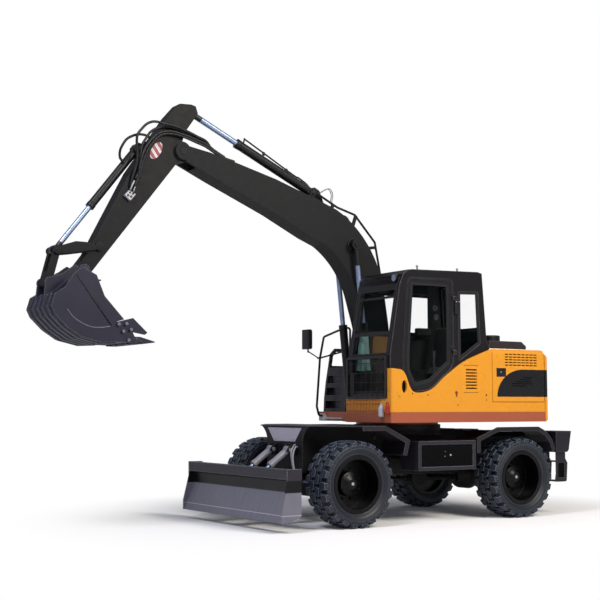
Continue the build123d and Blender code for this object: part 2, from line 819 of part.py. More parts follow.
# Side panels: the belts along the house and the curved guard beside the cab
right_box_x = -70
right_box_top = 2030
curve_top = [
    (893, 1941), (799, 1867), (690, 1668), (642, 1650), (448, 1670), (350, 1709), (201, 1825), (49, 1929),
    (-121, 2035), (-344, 2131), (-589, 2216),
]
recess_half = (39, 80)
slat_count = 7
slat_pitch = 40
slat_length = 190
slat_height = 16
with BuildPart() as side_panels:
    with BuildSketch(side(house_half)):
        with BuildLine():
            Polyline(
                (fire_wall_x, belt_z), (tail_seam_x, belt_z), (tail_seam_x, deck_z + fit),
                (skirt_x - fit, deck_z + fit),
                (skirt_x - fit, 1950), curve_top[0],
            )
            Spline(*curve_top[0:4])
            Spline(*curve_top[3:])
            Polyline(curve_top[-1], (fire_wall_x, 2235), (fire_wall_x, belt_z))
        make_face()
        with Locations((824, 1724)):
            Ellipse(recess_half[0], recess_half[1], mode=Mode.SUBTRACT)
        with Locations((-280, 1830)):
            with GridLocations(0, slat_pitch, 1, slat_count):
                Rectangle(slat_length, slat_height, mode=Mode.SUBTRACT)
    extrude(amount=panel)
    with BuildSketch(level(deck_z + fit)):
        with Locations(((tail_seam_x + right_box_x) / 2, -house_half + panel / 2)):
            Rectangle(right_box_x - tail_seam_x, panel)
    extrude(amount=belt_z - deck_z)
side_panels.part.label = "side_panels"
export_step(side_panels.part, "parts/side_panels.step")

# Engine doors, the same on both sides: an upright face with a rounded shoulder
shoulder = 300
door_sheet = 30
louvre_x = -1160
louvre_z = 2095
louvre_columns = 8
louvre_rows = 5
louvre_pitch = 74
louvre_row_pitch = 36
louvre_length = 60
louvre_height = 14
louvre_shoulder = 12
door_length = fire_wall_x - tail_seam_x - 2 * seam
with BuildPart() as engine_doors:
    with BuildSketch(across(tail_seam_x + seam)):
        with Locations((house_half - shoulder / 2, (belt_z + seam + house_top) / 2)):
            Rectangle(shoulder, house_top - belt_z - seam)
        fillet(vertices().group_by(Axis.X)[-1].sort_by(Axis.Y)[-1], 90)
        with Locations((house_half - door_sheet - shoulder / 2, (belt_z + house_top) / 2 - door_sheet)):
            Rectangle(shoulder, house_top - belt_z, mode=Mode.SUBTRACT)
    extrude(amount=door_length)
    # rows of louvre slots high in the face
    with BuildSketch(side(house_half + 1)):
        with Locations((louvre_x, louvre_z)):
            with GridLocations(louvre_pitch, louvre_row_pitch, louvre_columns, louvre_rows):
                Rectangle(louvre_length, louvre_height)
    extrude(amount=door_sheet + 2 + louvre_shoulder, mode=Mode.SUBTRACT)
    mirror(about=Plane.XZ)
engine_doors.part.label = "engine_doors"
export_step(engine_doors.part, "parts/engine_doors.step")

# Covers on the deck: over the swing drive, and the tall box behind the tank
with BuildPart() as deck_covers:
    with BuildSketch(level(deck_z + fit)):
        with Locations((-351, -150)):
            Rectangle(572, 820)
    extrude(amount=430)
    with BuildSketch(level(deck_z)):
        with Locations((-351, -150)):
            Rectangle(560, 808)
    extrude(amount=424, mode=Mode.SUBTRACT)
    fillet(edges().filter_by(Axis.Y).group_by(Axis.Z)[-1].sort_by(Axis.X)[-1], 50)
    with BuildSketch(level(deck_z + fit)):
        with Locations(((fire_wall_x + right_box_x) / 2, (-house_half + panel + fit - 570) / 2)):
            Rectangle(right_box_x - fire_wall_x - 1, house_half - panel - fit - 570)
    extrude(amount=right_box_top - deck_z - fit)
    with BuildSketch(level(belt_z + seam)):
        with Locations(((fire_wall_x + right_box_x) / 2, (-house_half - 570) / 2)):
            Rectangle(right_box_x - fire_wall_x - 1, house_half - 570)
    extrude(amount=right_box_top - belt_z - seam)
    fillet(edges().group_by(Axis.Z)[-1].sort_by(Axis.Y)[0], 60)
    with BuildSketch(level(deck_z)):
        with Locations(((fire_wall_x + right_box_x) / 2, (-house_half - 540) / 2)):
            Rectangle(right_box_x - fire_wall_x - 61, house_half - 630 - panel)
    extrude(amount=right_box_top - deck_z - panel, mode=Mode.SUBTRACT)
deck_covers.part.label = "deck_covers"
export_step(deck_covers.part, "parts/deck_covers.step")

# Hood: the top sheet between the shoulders of the engine doors, the ledges under them and the
# upright wall behind the cab
hood_half = house_half - shoulder
with BuildPart() as hood:
    with BuildSketch(level(house_top - door_sheet)):
        with Locations(((fire_wall_x + tail_seam_x) / 2, 0)):
            Rectangle(fire_wall_x - tail_seam_x, 2 * hood_half - seam)
    extrude(amount=door_sheet)
    with BuildSketch(level(house_top - door_sheet - fit - 10)):
        with Locations(((fire_wall_x + tail_seam_x) / 2, 0)):
            Rectangle(fire_wall_x - tail_seam_x, 2 * hood_half + 80)
            Rectangle(fire_wall_x - tail_seam_x - 80, 2 * hood_half - 80, mode=Mode.SUBTRACT)
    extrude(amount=10)
    with BuildSketch(level(house_top - door_sheet - fit - 10)):
        with Locations(((fire_wall_x + tail_seam_x) / 2, 0)):
            Rectangle(fire_wall_x - tail_seam_x, 2 * hood_half - seam)
            Rectangle(fire_wall_x - tail_seam_x - 80, 2 * hood_half - 80, mode=Mode.SUBTRACT)
    extrude(amount=12)
    with BuildSketch(level(deck_z + fit)):
        with Locations((fire_wall_x - 6, 0)):
            Rectangle(12, 2 * (house_half - panel - fit))
    extrude(amount=house_top - door_sheet - deck_z - fit)
hood.part.label = "hood"
export_step(hood.part, "parts/hood.step")

# Low dark box on the hood with the round air intake
top_box_top = 2365
intake_x = -1139
intake_y = 640
intake_radius = 130
with BuildPart() as top_box:
    with BuildSketch(side(900)):
        with BuildLine():
            Polyline(
                (-884, house_top + fit), (-884, top_box_top), (-1480, top_box_top),
                (-1566, top_box_top - 60),
                (-1566, house_top + fit), close=True,
            )
        make_face()
    extrude(amount=1000)
    with BuildSketch(level(top_box_top)):
        with Locations((intake_x, intake_y)):
            Circle(intake_radius)
    extrude(amount=2450 - top_box_top)
top_box.part.label = "top_box"
export_step(top_box.part, "parts/top_box.step")

with BuildPart() as engine_block:
    with BuildSketch(level(deck_z + fit)):
        with Locations((-1120, -20)):
            Rectangle(720, 900)
    extrude(amount=560)
engine_block.part.label = "engine_block"
export_step(engine_block.part, "parts/engine_block.step")

# Fuel tank on the right front corner: its face leans back and holds three steps; a flat hoop
# stands on its outer edge
tank_half_y = (-cab_outer, -320)
tank_front = [(410, deck_z + fit), (400, 1600), (372, 1820), (335, 2030)]
tank_rear_x = -60
with BuildPart() as right_tank:
    with BuildSketch(side(tank_half_y[1])):
        with BuildLine():
            Polyline(*tank_front, (tank_rear_x, 2030), (tank_rear_x, deck_z + fit), close=True)
        make_face()
    extrude(amount=tank_half_y[1] - tank_half_y[0])
    for z in (1500, 1690, 1860):
        with BuildSketch(side(tank_half_y[0] + 420)):
            with Locations((400, z)):
                Rectangle(180, 110)
        extrude(amount=380, mode=Mode.SUBTRACT)
    with BuildSketch(level(deck_z + 10)):
        with Locations(((tank_rear_x + 290) / 2, sum(tank_half_y) / 2)):
            Rectangle(290 - tank_rear_x - 20, tank_half_y[1] - tank_half_y[0] - 20)
    extrude(amount=2030 - deck_z - 20, mode=Mode.SUBTRACT)
    with BuildSketch(side(tank_half_y[0] + 34)):
        with BuildLine():
            Polyline(
                (335, 2020), (300, 2230), (220, 2310), (20, 2310), (-40, 2250), (-50, 2020),
                close=True,
            )
        make_face()
        with BuildLine():
            Polyline((285, 2060), (262, 2200), (205, 2262), (40, 2262), (5, 2225), (0, 2060), close=True)
        make_face(mode=Mode.SUBTRACT)
    extrude(amount=34)
right_tank.part.label = "right_tank"
export_step(right_tank.part, "parts/right_tank.step")

# Cab: a hollow shell split where its panels meet, with the openings for door and panes
cab_profile = [
    (1015, cab_floor), (1020, 2110), (855, 3029), (800, 3150), (735, 3205), (651, 3215), (-440, 3244),
    (-513, 3227), (-581, 2349), (-620, 2270), (-620, cab_floor),
]
door_gap = 8
hinge_axis = (-6, cab_outer + 12)
hinge_heights = (2200, 2900)
hinge_knuckle = 50
hinge_radius = 11
hinge_pin = 6
door_outline = [
    (800, 2150), (722, 3062), (690, 3100), (40, 3112), (0, 3080), (0, 2060), (49, 1968),
    (201, 1850), (350, 1734),
    (448, 1695), (642, 1675), (690, 1693), (800, 1892),
]
rear_pane = [(-107, 2070), (-107, 2966), (-440, 2978), (-470, 2300)]
right_sill = 2440
right_pane = [(856, right_sill), (800, 2990), (-440, 2990), (-472, right_sill)]
glass_y = (cab_inner + 55, cab_outer - 55)
wind_shield_bottom = 1640
wind_shield_top = 2990
rear_window_half = (cab_inner + 105, cab_outer - 105)
rear_window_height = (2485, 3080)
with BuildPart() as cab_shell:
    with BuildSketch(side(cab_outer)):
        with BuildLine():
            Polyline(*cab_profile, close=True)
        make_face()
    extrude(amount=cab_outer - cab_inner)
    fillet(edges().filter_by(Axis.Y).group_by(Axis.Z)[-1], 40)
    with BuildSketch(side(cab_outer - cab_wall)):
        with BuildLine():
            Polyline(*cab_profile, close=True)
        make_face()
        offset(amount=-cab_wall)
    extrude(amount=cab_outer - cab_inner - 2 * cab_wall, mode=Mode.SUBTRACT)
    with BuildSketch(side(cab_outer + 1)):
        with BuildLine():
            Polyline(*door_outline, close=True)
        make_face()
        offset(amount=door_gap)
    extrude(amount=cab_wall + 2, mode=Mode.SUBTRACT)
    with BuildSketch(side(cab_outer + 1)):
        with BuildLine():
            Polyline(*rear_pane, close=True)
        make_face()
    extrude(amount=cab_wall + 2, mode=Mode.SUBTRACT)
    with BuildSketch(side(cab_inner + cab_wall + 1)):
        with BuildLine():
            Polyline(*right_pane, close=True)
        make_face()
    extrude(amount=cab_wall + 2, mode=Mode.SUBTRACT)
    with BuildSketch(across(700)):
        with Locations(((glass_y[0] + glass_y[1]) / 2, (wind_shield_bottom + wind_shield_top) / 2)):
            Rectangle(glass_y[1] - glass_y[0], wind_shield_top - wind_shield_bottom)
    extrude(amount=400, mode=Mode.SUBTRACT)
    with BuildSketch(across(-640)):
        with Locations((sum(rear_window_half) / 2, sum(rear_window_height) / 2)):
            Rectangle(
                rear_window_half[1] - rear_window_half[0],
                rear_window_height[1] - rear_window_height[0],
            )
    extrude(amount=200, mode=Mode.SUBTRACT)
    for x, y in ((850, 400), (850, 1080), (-500, 400), (-500, 1080)):
        with BuildSketch(level(deck_z + fit)):
            with Locations((x, y)):
                Circle(55)
        extrude(amount=cab_floor - deck_z)
    # lower knuckles of the door hinges, each with its pin
    for z in hinge_heights:
        with BuildSketch(level(z - hinge_knuckle - fit)):
            with Locations(hinge_axis):
                Circle(hinge_radius)
            with Locations((hinge_axis[0] - 26, hinge_axis[1] - 3)):
                Rectangle(52, 2 * (hinge_axis[1] - 3 - cab_outer) + 0.2)
        extrude(amount=hinge_knuckle)
        with BuildSketch(level(z - hinge_knuckle)):
            with Locations(hinge_axis):
                Circle(hinge_pin)
        extrude(amount=2 * hinge_knuckle - 4)
cab_shell.part.label = "cab_shell"
export_step(cab_shell.part, "parts/cab_shell.step")

# Panes of the cab, each just inside the face of its wall
pane_inset = 10
rear_window_pane = [
    (pane_inset - 568, rear_window_height[0] + 2),
    (pane_inset - 525, rear_window_height[1] - 2),
]
with BuildPart() as cab_glass:
    with BuildSketch(side(glass_y[1] - fit)):
        Polygon(*strip(
            [(1015 - pane_inset, wind_shield_bottom + fit), (1020 - pane_inset, 2110),
             (862 - pane_inset, wind_shield_top - 2)], glass)[::-1], align=None)
    extrude(amount=glass_y[1] - glass_y[0] - 2 * fit)
    with BuildSketch(side(cab_outer - pane_inset)):
        with BuildLine():
            Polyline(*rear_pane, close=True)
        make_face()
        offset(amount=-fit)
    extrude(amount=glass)
    with BuildSketch(side(cab_inner + pane_inset + glass)):
        with BuildLine():
            Polyline(*right_pane, close=True)
        make_face()
        offset(amount=-fit)
    extrude(amount=glass)
    with BuildSketch(side(rear_window_half[1] - fit)):
        Polygon(*strip(rear_window_pane, glass), align=None)
    extrude(amount=rear_window_half[1] - rear_window_half[0] - 2 * fit)
cab_glass.part.label = "cab_glass"
export_step(cab_glass.part, "parts/cab_glass.step")

# Door, hung at its rear edge, with its pane
door_window = [
    (742, 2150), (676, 3030), (655, 3052), (94, 3052), (60, 3020), (60, 2040), (225, 1920), (380, 1795),
    (630, 1738), (742, 1925),
]
with BuildPart() as cab_door:
    with BuildSketch(side(cab_outer)):
        with BuildLine():
            Polyline(*door_outline, close=True)
        make_face()
        with BuildLine():
            Polyline(*door_window, close=True)
        make_face(mode=Mode.SUBTRACT)
    extrude(amount=cab_wall)
    for z in hinge_heights:
        with BuildSketch(level(z)):
            with Locations(hinge_axis):
                Circle(hinge_radius)
            with Locations((hinge_axis[0] + 26, hinge_axis[1] - 3)):
                Rectangle(52, 2 * (hinge_axis[1] - 3 - cab_outer) + 0.2)
            with Locations(hinge_axis):
                Circle(hinge_pin + fit, mode=Mode.SUBTRACT)
        extrude(amount=hinge_knuckle)
cab_door.part.label = "cab_door"
export_step(cab_door.part, "parts/cab_door.step")

with BuildPart() as door_glass:
    with BuildSketch(side(cab_outer - pane_inset)):
        with BuildLine():
            Polyline(*door_window, close=True)
        make_face()
        offset(amount=-fit)
    extrude(amount=glass)
door_glass.part.label = "door_glass"
export_step(door_glass.part, "parts/door_glass.step")

# Front skirt below the windscreen, with a column at each side of it
with BuildPart() as front_skirt:
    with BuildSketch(across(skirt_x)):
        with BuildLine():
            Polyline(
                (cab_inner - 33, deck_z + fit), (cab_inner - 33, 1570), (cab_inner, 1600),
                (cab_inner, 1910),
                (cab_inner + 145, 1910), (cab_inner + 145, 1632), (house_half - 82, 1632),
                (house_half - 82, 1950), (house_half, 1950), (house_half, deck_z + fit), close=True,
            )
        make_face()
    extrude(amount=platform_front - skirt_x)
front_skirt.part.label = "front_skirt"
export_step(front_skirt.part, "parts/front_skirt.step")

# Guard before the lower half of the windscreen: a tube frame with upright and level bars
guard_y = (cab_inner + 5, cab_outer - 40)
guard_z = (1570, 2110)
guard_depth = 22
with BuildPart() as front_guard:
    with BuildSketch(across(platform_front + fit)):
        with Locations((sum(guard_y) / 2, sum(guard_z) / 2)):
            RectangleRounded(guard_y[1] - guard_y[0], guard_z[1] - guard_z[0], 30)
            RectangleRounded(
                guard_y[1] - guard_y[0] - 60, guard_z[1] - guard_z[0] - 60, 15, mode=Mode.SUBTRACT,
            )
    extrude(amount=guard_depth)
    with BuildSketch(across(platform_front + 10)):
        with GridLocations(110, 0, 7, 1):
            with Locations((sum(guard_y) / 2, sum(guard_z) / 2)):
                Rectangle(6, guard_z[1] - guard_z[0] - 50)
        with GridLocations(0, 120, 1, 4):
            with Locations((sum(guard_y) / 2, sum(guard_z) / 2)):
                Rectangle(guard_y[1] - guard_y[0] - 50, 6)
    extrude(amount=6)
front_guard.part.label = "front_guard"
export_step(front_guard.part, "parts/front_guard.step")

# Seat with its pedestal, the consoles beside it and the steering column
seat_y = 745
with BuildPart() as seat_stand:
    with BuildSketch(level(cab_floor + cab_wall + fit)):
        with Locations((20, seat_y)):
            RectangleRounded(420, 380, 40)
    extrude(amount=250)
    for hand in (1, -1):
        with BuildSketch(side(seat_y + hand * 325 + 60)):
            with BuildLine():
                Polyline(
                    (-150, cab_floor + cab_wall + fit), (-200, 1960), (230, 1980), (300, 1900), (120, 1800),
                    (60, cab_floor + cab_wall + fit), close=True,
                )
            make_face()
        extrude(amount=120)
        with BuildSketch(level(1960)):
            with Locations((220, seat_y + hand * 325)):
                Circle(14)
        extrude(amount=150)
        with BuildSketch(level(2100)):
            with Locations((220, seat_y + hand * 325)):
                Circle(24)
        extrude(amount=90)
seat_stand.part.label = "seat_stand"
export_step(seat_stand.part, "parts/seat_stand.step")

seat_bottom = cab_floor + cab_wall + 250 + 2 * fit
with BuildPart() as seat:
    with BuildSketch(side(seat_y + 250)):
        with BuildLine():
            Polyline(
                (280, seat_bottom), (300, seat_bottom + 90), (250, seat_bottom + 120),
                (-110, seat_bottom + 90),
                (-190, 2330), (-250, 2560), (-320, 2550), (-280, 2320), (-220, seat_bottom + 60),
                (-200, seat_bottom), close=True,
            )
        make_face()
        fillet(vertices(), 18)
    extrude(amount=500)
seat.part.label = "seat"
export_step(seat.part, "parts/seat.step")

column_foot = (850, cab_floor + cab_wall + 50)
column_head = (650, 2080)
with BuildPart() as steering_column:
    with BuildSketch(along(column_foot, column_head, seat_y)):
        Rectangle(110, 80)
    extrude(amount=span(column_foot, column_head))
    with BuildSketch(along(column_foot, column_head, seat_y).offset(span(column_foot, column_head))):
        Circle(185)
        Circle(160, mode=Mode.SUBTRACT)
        Rectangle(330, 26)
        Circle(40)
    extrude(amount=24)
    with BuildSketch(level(cab_floor + cab_wall + fit)):
        with Locations((column_foot[0], seat_y)):
            Rectangle(130, 160)
    extrude(amount=60)
steering_column.part.label = "steering_column"
export_step(steering_column.part, "parts/steering_column.step")

# Handrail at the right front corner, with the arm and glass of the mirror
rail_y = -(house_half - 99)
rail_radius = 16
with BuildPart() as handrail:
    with BuildLine():
        rail = FilletPolyline(
            (slew_x + 460.3, rail_y, 1345), (slew_x + 530, rail_y, 1345), (slew_x + 567, rail_y, 1474),
            (slew_x + 511, rail_y, 2166), (slew_x + 444, rail_y, 2471), (slew_x + 187, rail_y, 2572),
            (slew_x - 20, rail_y, 2630), (slew_x - 20, rail_y, 2030 + fit), radius=40,
        )
    with BuildSketch(Plane(origin=rail @ 0, z_dir=rail % 0)):
        Circle(rail_radius)
    sweep()
    with BuildSketch(along((511, 2166), (-20, 2300), rail_y)):
        Circle(rail_radius - 4)
    extrude(amount=span((511, 2166), (-20, 2300)))
    with BuildSketch(along((511, 2166), (690, 2260), rail_y - 40)):
        Circle(9)
    extrude(amount=span((511, 2166), (690, 2260)))
    with BuildSketch(side(rail_y)):
        with Locations((511, 2166)):
            Circle(14)
    extrude(amount=52)
    with BuildSketch(level(2290)):
        with Locations((690, rail_y - 70)):
            RectangleRounded(70, 190, 30)
    extrude(amount=280)
    with BuildSketch(level(2240)):
        with Locations((690, rail_y - 40)):
            Circle(11)
    extrude(amount=60)
handrail.part.label = "handrail"
export_step(handrail.part, "parts/handrail.step")

# Boom: one bent box of plates, with the foot boss, a boss at each side for the boom cylinders,
# ears for the arm cylinder on its back and a fork for the arm at its end
web = 14
fork_radius = 268
fork_eye = 105
arm_pin_radius = 45
side_boss_radius = 90
lug = (45, 65)
foot_eye = 135
side_boss_reach = 190
arm_cylinder_pin_radius = 38
pipe_y = 105
pipe_radius = 15
pipe_route = [
    (400, 3215), (350, 3259), (440, 3698), (773, 4047), (1060, 4123), (1237, 4208), (1397, 4286),
    (1490, 4190),
]
strap_width = 40
pipe_straps = [((430, 3650), (630, 3620)), ((773, 4047), (840, 3860)), ((1150, 4165), (1175, 4080))]
with BuildPart() as boom:
    with BuildSketch(side(0)) as boom_outline:
        with BuildLine():
            Polyline((323, 3031), (250, 2573), (155, 1700), (425, 1700), (650, 2580), (758, 2929))
            ThreePointArc((758, 2929), (1000, 3365), (1289, 3609))
            Polyline(
                (1289, 3609), (1526, 3700), (2075, 3960), (2954, 4318), (3345, 4487), (3484, 4655),
                (3362, 4684),
                (3004, 4628), (2717, 4563), (2040, 4392), (1303, 4154), (1094, 4080),
            )
            ThreePointArc((1094, 4080), (600, 3665), (323, 3031))
        make_face()
        with Locations(boom_foot):
            Circle(foot_eye)
        with Locations(arm_pivot):
            Circle(fork_eye)
    extrude(amount=boom_half, both=True)
    with BuildSketch(side(0)):
        with BuildLine():
            Polyline((340, 3031), (264, 2560), (185, 1860), (440, 1860), (636, 2580), (745, 2934))
            ThreePointArc((745, 2934), (988, 3375), (1282, 3623))
            Polyline((1282, 3623), (1520, 3714), (2068, 3974), (2948, 4332), (3040, 4372), (3040, 4615),
                     (2720, 4548), (2044, 4377), (1307, 4139), (1098, 4066))
            ThreePointArc((1098, 4066), (612, 3657), (340, 3031))
        make_face()
    extrude(amount=boom_half - web, both=True, mode=Mode.SUBTRACT)
    with BuildSketch(side(0)):
        with Locations(arm_pivot):
            Circle(fork_radius)
    extrude(amount=arm_half + side_gap, both=True, mode=Mode.SUBTRACT)
    with BuildSketch(side(0)):
        with Locations(arm_pivot):
            Circle(arm_pin_radius + fit)
    extrude(amount=boom_half, both=True, mode=Mode.SUBTRACT)
    with BuildSketch(side(0)):
        with Locations(boom_foot):
            Circle(boom_pin_radius)
    extrude(amount=inner_bracket[1] + 2, both=True)
    with BuildSketch(side(0)):
        with Locations(boom_cylinder_head):
            Circle(side_boss_radius)
    extrude(amount=side_boss_reach, both=True)
    for near in (-lug[1], lug[0]):
        with BuildSketch(side(near + lug[1] - lug[0])):
            with BuildLine():
                Polyline(
                    (1230, 4120), (1320, 4330), (1395, 4368), (1450, 4330), (1470, 4255), (1560, 4215),
                    close=True,
                )
            make_face()
            with Locations(arm_cylinder_foot):
                Circle(arm_cylinder_pin_radius + fit, mode=Mode.SUBTRACT)
        extrude(amount=lug[1] - lug[0])
    # pipes that stand off the back of the boom on straps, one at each side of the cylinder lugs
    for hand in (1, -1):
        with BuildLine(side(hand * pipe_y)) as pipe_line:
            Polyline(*pipe_route)
        with BuildSketch(Plane(pipe_line.line @ 0, z_dir=pipe_line.line % 0)):
            Circle(pipe_radius)
        sweep(path=pipe_line.line, transition=Transition.ROUND)
        for pipe_end, boom_end in pipe_straps:
            with BuildSketch(side(hand * pipe_y + pipe_radius)):
                Polygon(*strip((pipe_end, boom_end), strap_width), align=None)
            extrude(amount=2 * pipe_radius)
boom.part.label = "boom"
export_step(boom.part, "parts/boom.step")

barrel, rod = cylinder(
    boom_cylinder_foot, boom_cylinder_head, eye_half=35, foot_pin=59, pin_radius=cylinder_pin_radius,
    eye_radius=72, bore=45, wall=10, rod_radius=33, gland=1107, rod_length=1300,
    piston=40, head_cap=12,
)
for piece, name in ((barrel, "boom_barrels"), (rod, "boom_rods")):
    both = pair(piece, cylinder_y)
    both.label = name
    export_step(both, "parts/" + name + ".step")

barrel, rod = cylinder(
    arm_cylinder_foot, arm_cylinder_head, eye_half=40, foot_pin=lug[1] + 4,
    pin_radius=arm_cylinder_pin_radius, eye_radius=72,
    bore=50, wall=10, rod_radius=38, gland=1285, rod_length=1350, piston=40, head_cap=0,
)
for piece, name in ((barrel, "arm_barrel"), (rod, "arm_rod")):
    piece.label = name
    export_step(piece, "parts/" + name + ".step")

# Arm: a tapered box with its pivot pin, two plates at the top for the rod of its cylinder, ears
# for the bucket cylinder and bores for the rocker and the bucket
slot_half = 46
rocker_pin_radius = 32
bucket_pin_radius = 38
with BuildPart() as arm:
    with BuildSketch(side(0)):
        with BuildLine():
            Polyline(
                (4580, 3010), (3474, 4431), (3347, 4855), (3170, 5110), (3200, 5200), (3262, 5215),
                (3420, 5205),
                (3572, 5029), (4074, 4286), (4328, 3798), (4609, 3255), (4728, 3095), close=True,
            )
        make_face()
        with Locations(arm_pivot):
            Circle(130)
        with Locations(bucket_pivot):
            Circle(85)
    extrude(amount=arm_half, both=True)
    with BuildSketch(side(0)):
        with BuildLine():
            Polyline((4400, 3290), (3560, 4400), (3500, 4640), (3420, 4820), (3560, 4960), (4050, 4240), (4300, 3760),
                     (4440, 3480), close=True)
        make_face()
    extrude(amount=arm_half - web, both=True, mode=Mode.SUBTRACT)
    with BuildSketch(side(0)):
        with Locations(arm_cylinder_head):
            Circle(170)
        with BuildLine():
            Polyline(
                (3100, 5220), (3235, 5140), (3450, 4990), (3380, 4880), (3320, 4840), (3000, 5000),
                close=True,
            )
        make_face()
    extrude(amount=slot_half, both=True, mode=Mode.SUBTRACT)
    with BuildSketch(side(0)):
        with Locations(arm_pivot):
            Circle(arm_pin_radius)
    extrude(amount=boom_half + 6, both=True)
    for centre, radius in ((rocker_pivot, rocker_pin_radius), (bucket_pivot, bucket_pin_radius)):
        with BuildSketch(side(0)):
            with Locations(centre):
                Circle(radius + fit)
        extrude(amount=arm_half, both=True, mode=Mode.SUBTRACT)
    for near in (-lug[1], lug[0]):
        with BuildSketch(side(near + lug[1] - lug[0])):
            with BuildLine():
                Polyline((3740, 4760), (3890, 4645), (3953, 4658), (4015, 4600), (4010, 4562), (3940, 4480), (3890, 4450),
                         close=True)
            make_face()
            with Locations(bucket_cylinder_foot):
                Circle(32 + fit, mode=Mode.SUBTRACT)
        extrude(amount=lug[1] - lug[0])
arm.part.label = "arm"
export_step(arm.part, "parts/arm.step")

barrel, rod = cylinder(
    bucket_cylinder_foot, rocker_head, eye_half=38, foot_pin=lug[1] + 4, pin_radius=32,
    eye_radius=60, bore=42,
    wall=8, rod_radius=32, gland=975, rod_length=995, piston=40, head_cap=0,
)
for piece, name in ((barrel, "bucket_barrel"), (rod, "bucket_rod")):
    piece.label = name
    export_step(piece, "parts/" + name + ".step")

# Rocker: a plate at each side of the arm, joined by its pin through the arm
rocker_plate = (arm_half + side_gap + 1, arm_half + side_gap + 26)
rocker_eye = 52
with BuildPart() as rocker:
    for y in (rocker_plate[1], -rocker_plate[0]):
        with BuildSketch(side(y)):
            with BuildLine():
                Polyline(
                    rocker_pivot, (4579, 3370), (4640, 3385), (4769, 3385), (4930, 3330),
                    rocker_head, (4920, 3232),
                    (4770, 3254), (4520, 3300), close=True,
                )
            make_face()
            with Locations(rocker_pivot, rocker_head):
                Circle(rocker_eye)
            with Locations(rocker_head):
                Circle(rocker_pin_radius + fit, mode=Mode.SUBTRACT)
        extrude(amount=rocker_plate[1] - rocker_plate[0])
    with BuildSketch(side(0)):
        with Locations(rocker_pivot):
            Circle(rocker_pin_radius)
    extrude(amount=rocker_plate[1] + 4, both=True)
rocker.part.label = "rocker"
export_step(rocker.part, "parts/rocker.step")

# Link from the rocker to the bucket: two cheeks joined by a web near the bucket
link_cheek = (50, arm_half)
with BuildPart() as link:
    with BuildSketch(side(0)):
        with Locations(rocker_head):
            Circle(rocker_eye)
        with Locations(link_foot):
            Circle(48)
    extrude(amount=arm_half, both=True)
    with BuildSketch(along(rocker_head, link_foot, 0)):
        Rectangle(2 * arm_half, 78)
    extrude(amount=span(rocker_head, link_foot))
    with BuildSketch(along(rocker_head, link_foot, 0).offset(-rocker_eye - 5)):
        Rectangle(2 * link_cheek[0], 200)
    extrude(amount=rocker_eye + 5 + 270, mode=Mode.SUBTRACT)
    for y in (rocker_plate[1] + 4, -link_cheek[0]):
        with BuildSketch(side(y)):
            with Locations(rocker_head):
                Circle(rocker_pin_radius)
        extrude(amount=rocker_plate[1] + 4 - link_cheek[0])
link.part.label = "link"
export_step(link.part, "parts/link.step")

# Bucket: a bent shell between two side plates, with the lip, teeth, side cutters and the ears
shell_plate = 16
side_plate = 20
bucket_side = [
    (4792, 3060), (4616, 2977), (4512, 2737), (4266, 2478), (4356, 2451), (4327, 2224),
    (4541, 2206), (4791, 2262),
    (4963, 2371), (5111, 2513), (5155, 2602), (5115, 2741), (4996, 2816), (4901, 2972),
]
bucket_wrap = [
    (4560, 2925), (4870, 2925), (4996, 2816), (5115, 2741), (5155, 2602), (5111, 2513),
    (4963, 2371), (4791, 2262),
    (4541, 2206), (4336, 2217), (4110, 2225),
]
side_cutter = [
    (4377, 2443), (4154, 2499), (3969, 2334), (4001, 2309), (4158, 2334), (4091, 2212), (4336, 2217),
]
bucket_ear = (rocker_plate[0], rocker_plate[0] + 30)
strip_count = 5
strip_pitch = 150
strip_width = 50
strip_height = 14
tooth_count = 5
tooth_pitch = 168
with BuildPart() as bucket:
    for y in (bucket_half, -bucket_half + side_plate):
        with BuildSketch(side(y)):
            with BuildLine():
                Polyline(*bucket_side, close=True)
            make_face()
            with BuildLine():
                Polyline(*side_cutter, close=True)
            make_face()
        extrude(amount=side_plate)
    with BuildSketch(side(0)):
        Polygon(*strip(bucket_wrap, shell_plate), align=None)
    extrude(amount=bucket_half - 1, both=True)
    with BuildSketch(side(0)):
        Polygon((4230, 2218), (4230, 2262), (4080, 2262), (4020, 2228), align=None)
    extrude(amount=bucket_half - 1, both=True)
    # wear strips round the back of the shell
    for step in range(strip_count):
        with BuildSketch(side((step - (strip_count - 1) / 2) * strip_pitch + strip_width / 2)):
            Polygon(*strip(bucket_wrap[3:10], -strip_height)[::-1], align=None)
        extrude(amount=strip_width)
    for step in range(tooth_count):
        with BuildSketch(side((step - (tooth_count - 1) / 2) * tooth_pitch + 38)):
            Polygon(
                (4150, 2200), (4150, 2285), (4050, 2285), (3860, 2234), (3860, 2222), (4020, 2200),
                align=None,
            )
        extrude(amount=76)
    for y in (bucket_ear[1], -bucket_ear[0]):
        with BuildSketch(side(y)):
            with BuildLine():
                Polyline(
                    (4640, 2925), (4600, 3010), bucket_pivot, (4773, 3110), (4932, 2994),
                    (5110, 2945), (5130, 2850),
                    (5150, 2640), (5000, 2800), (4870, 2915), close=True,
                )
            make_face()
            with Locations(bucket_pivot):
                Circle(70)
            with Locations(link_foot):
                Circle(58)
        extrude(amount=bucket_ear[1] - bucket_ear[0])
    with BuildSketch(side(0)):
        with Locations(bucket_pivot):
            Circle(bucket_pin_radius)
    extrude(amount=bucket_ear[1] + 6, both=True)
bucket.part.label = "bucket"
export_step(bucket.part, "parts/bucket.step")
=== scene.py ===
from math import cos, pi, sin

import bmesh
import bpy
from mathutils import Matrix, Vector


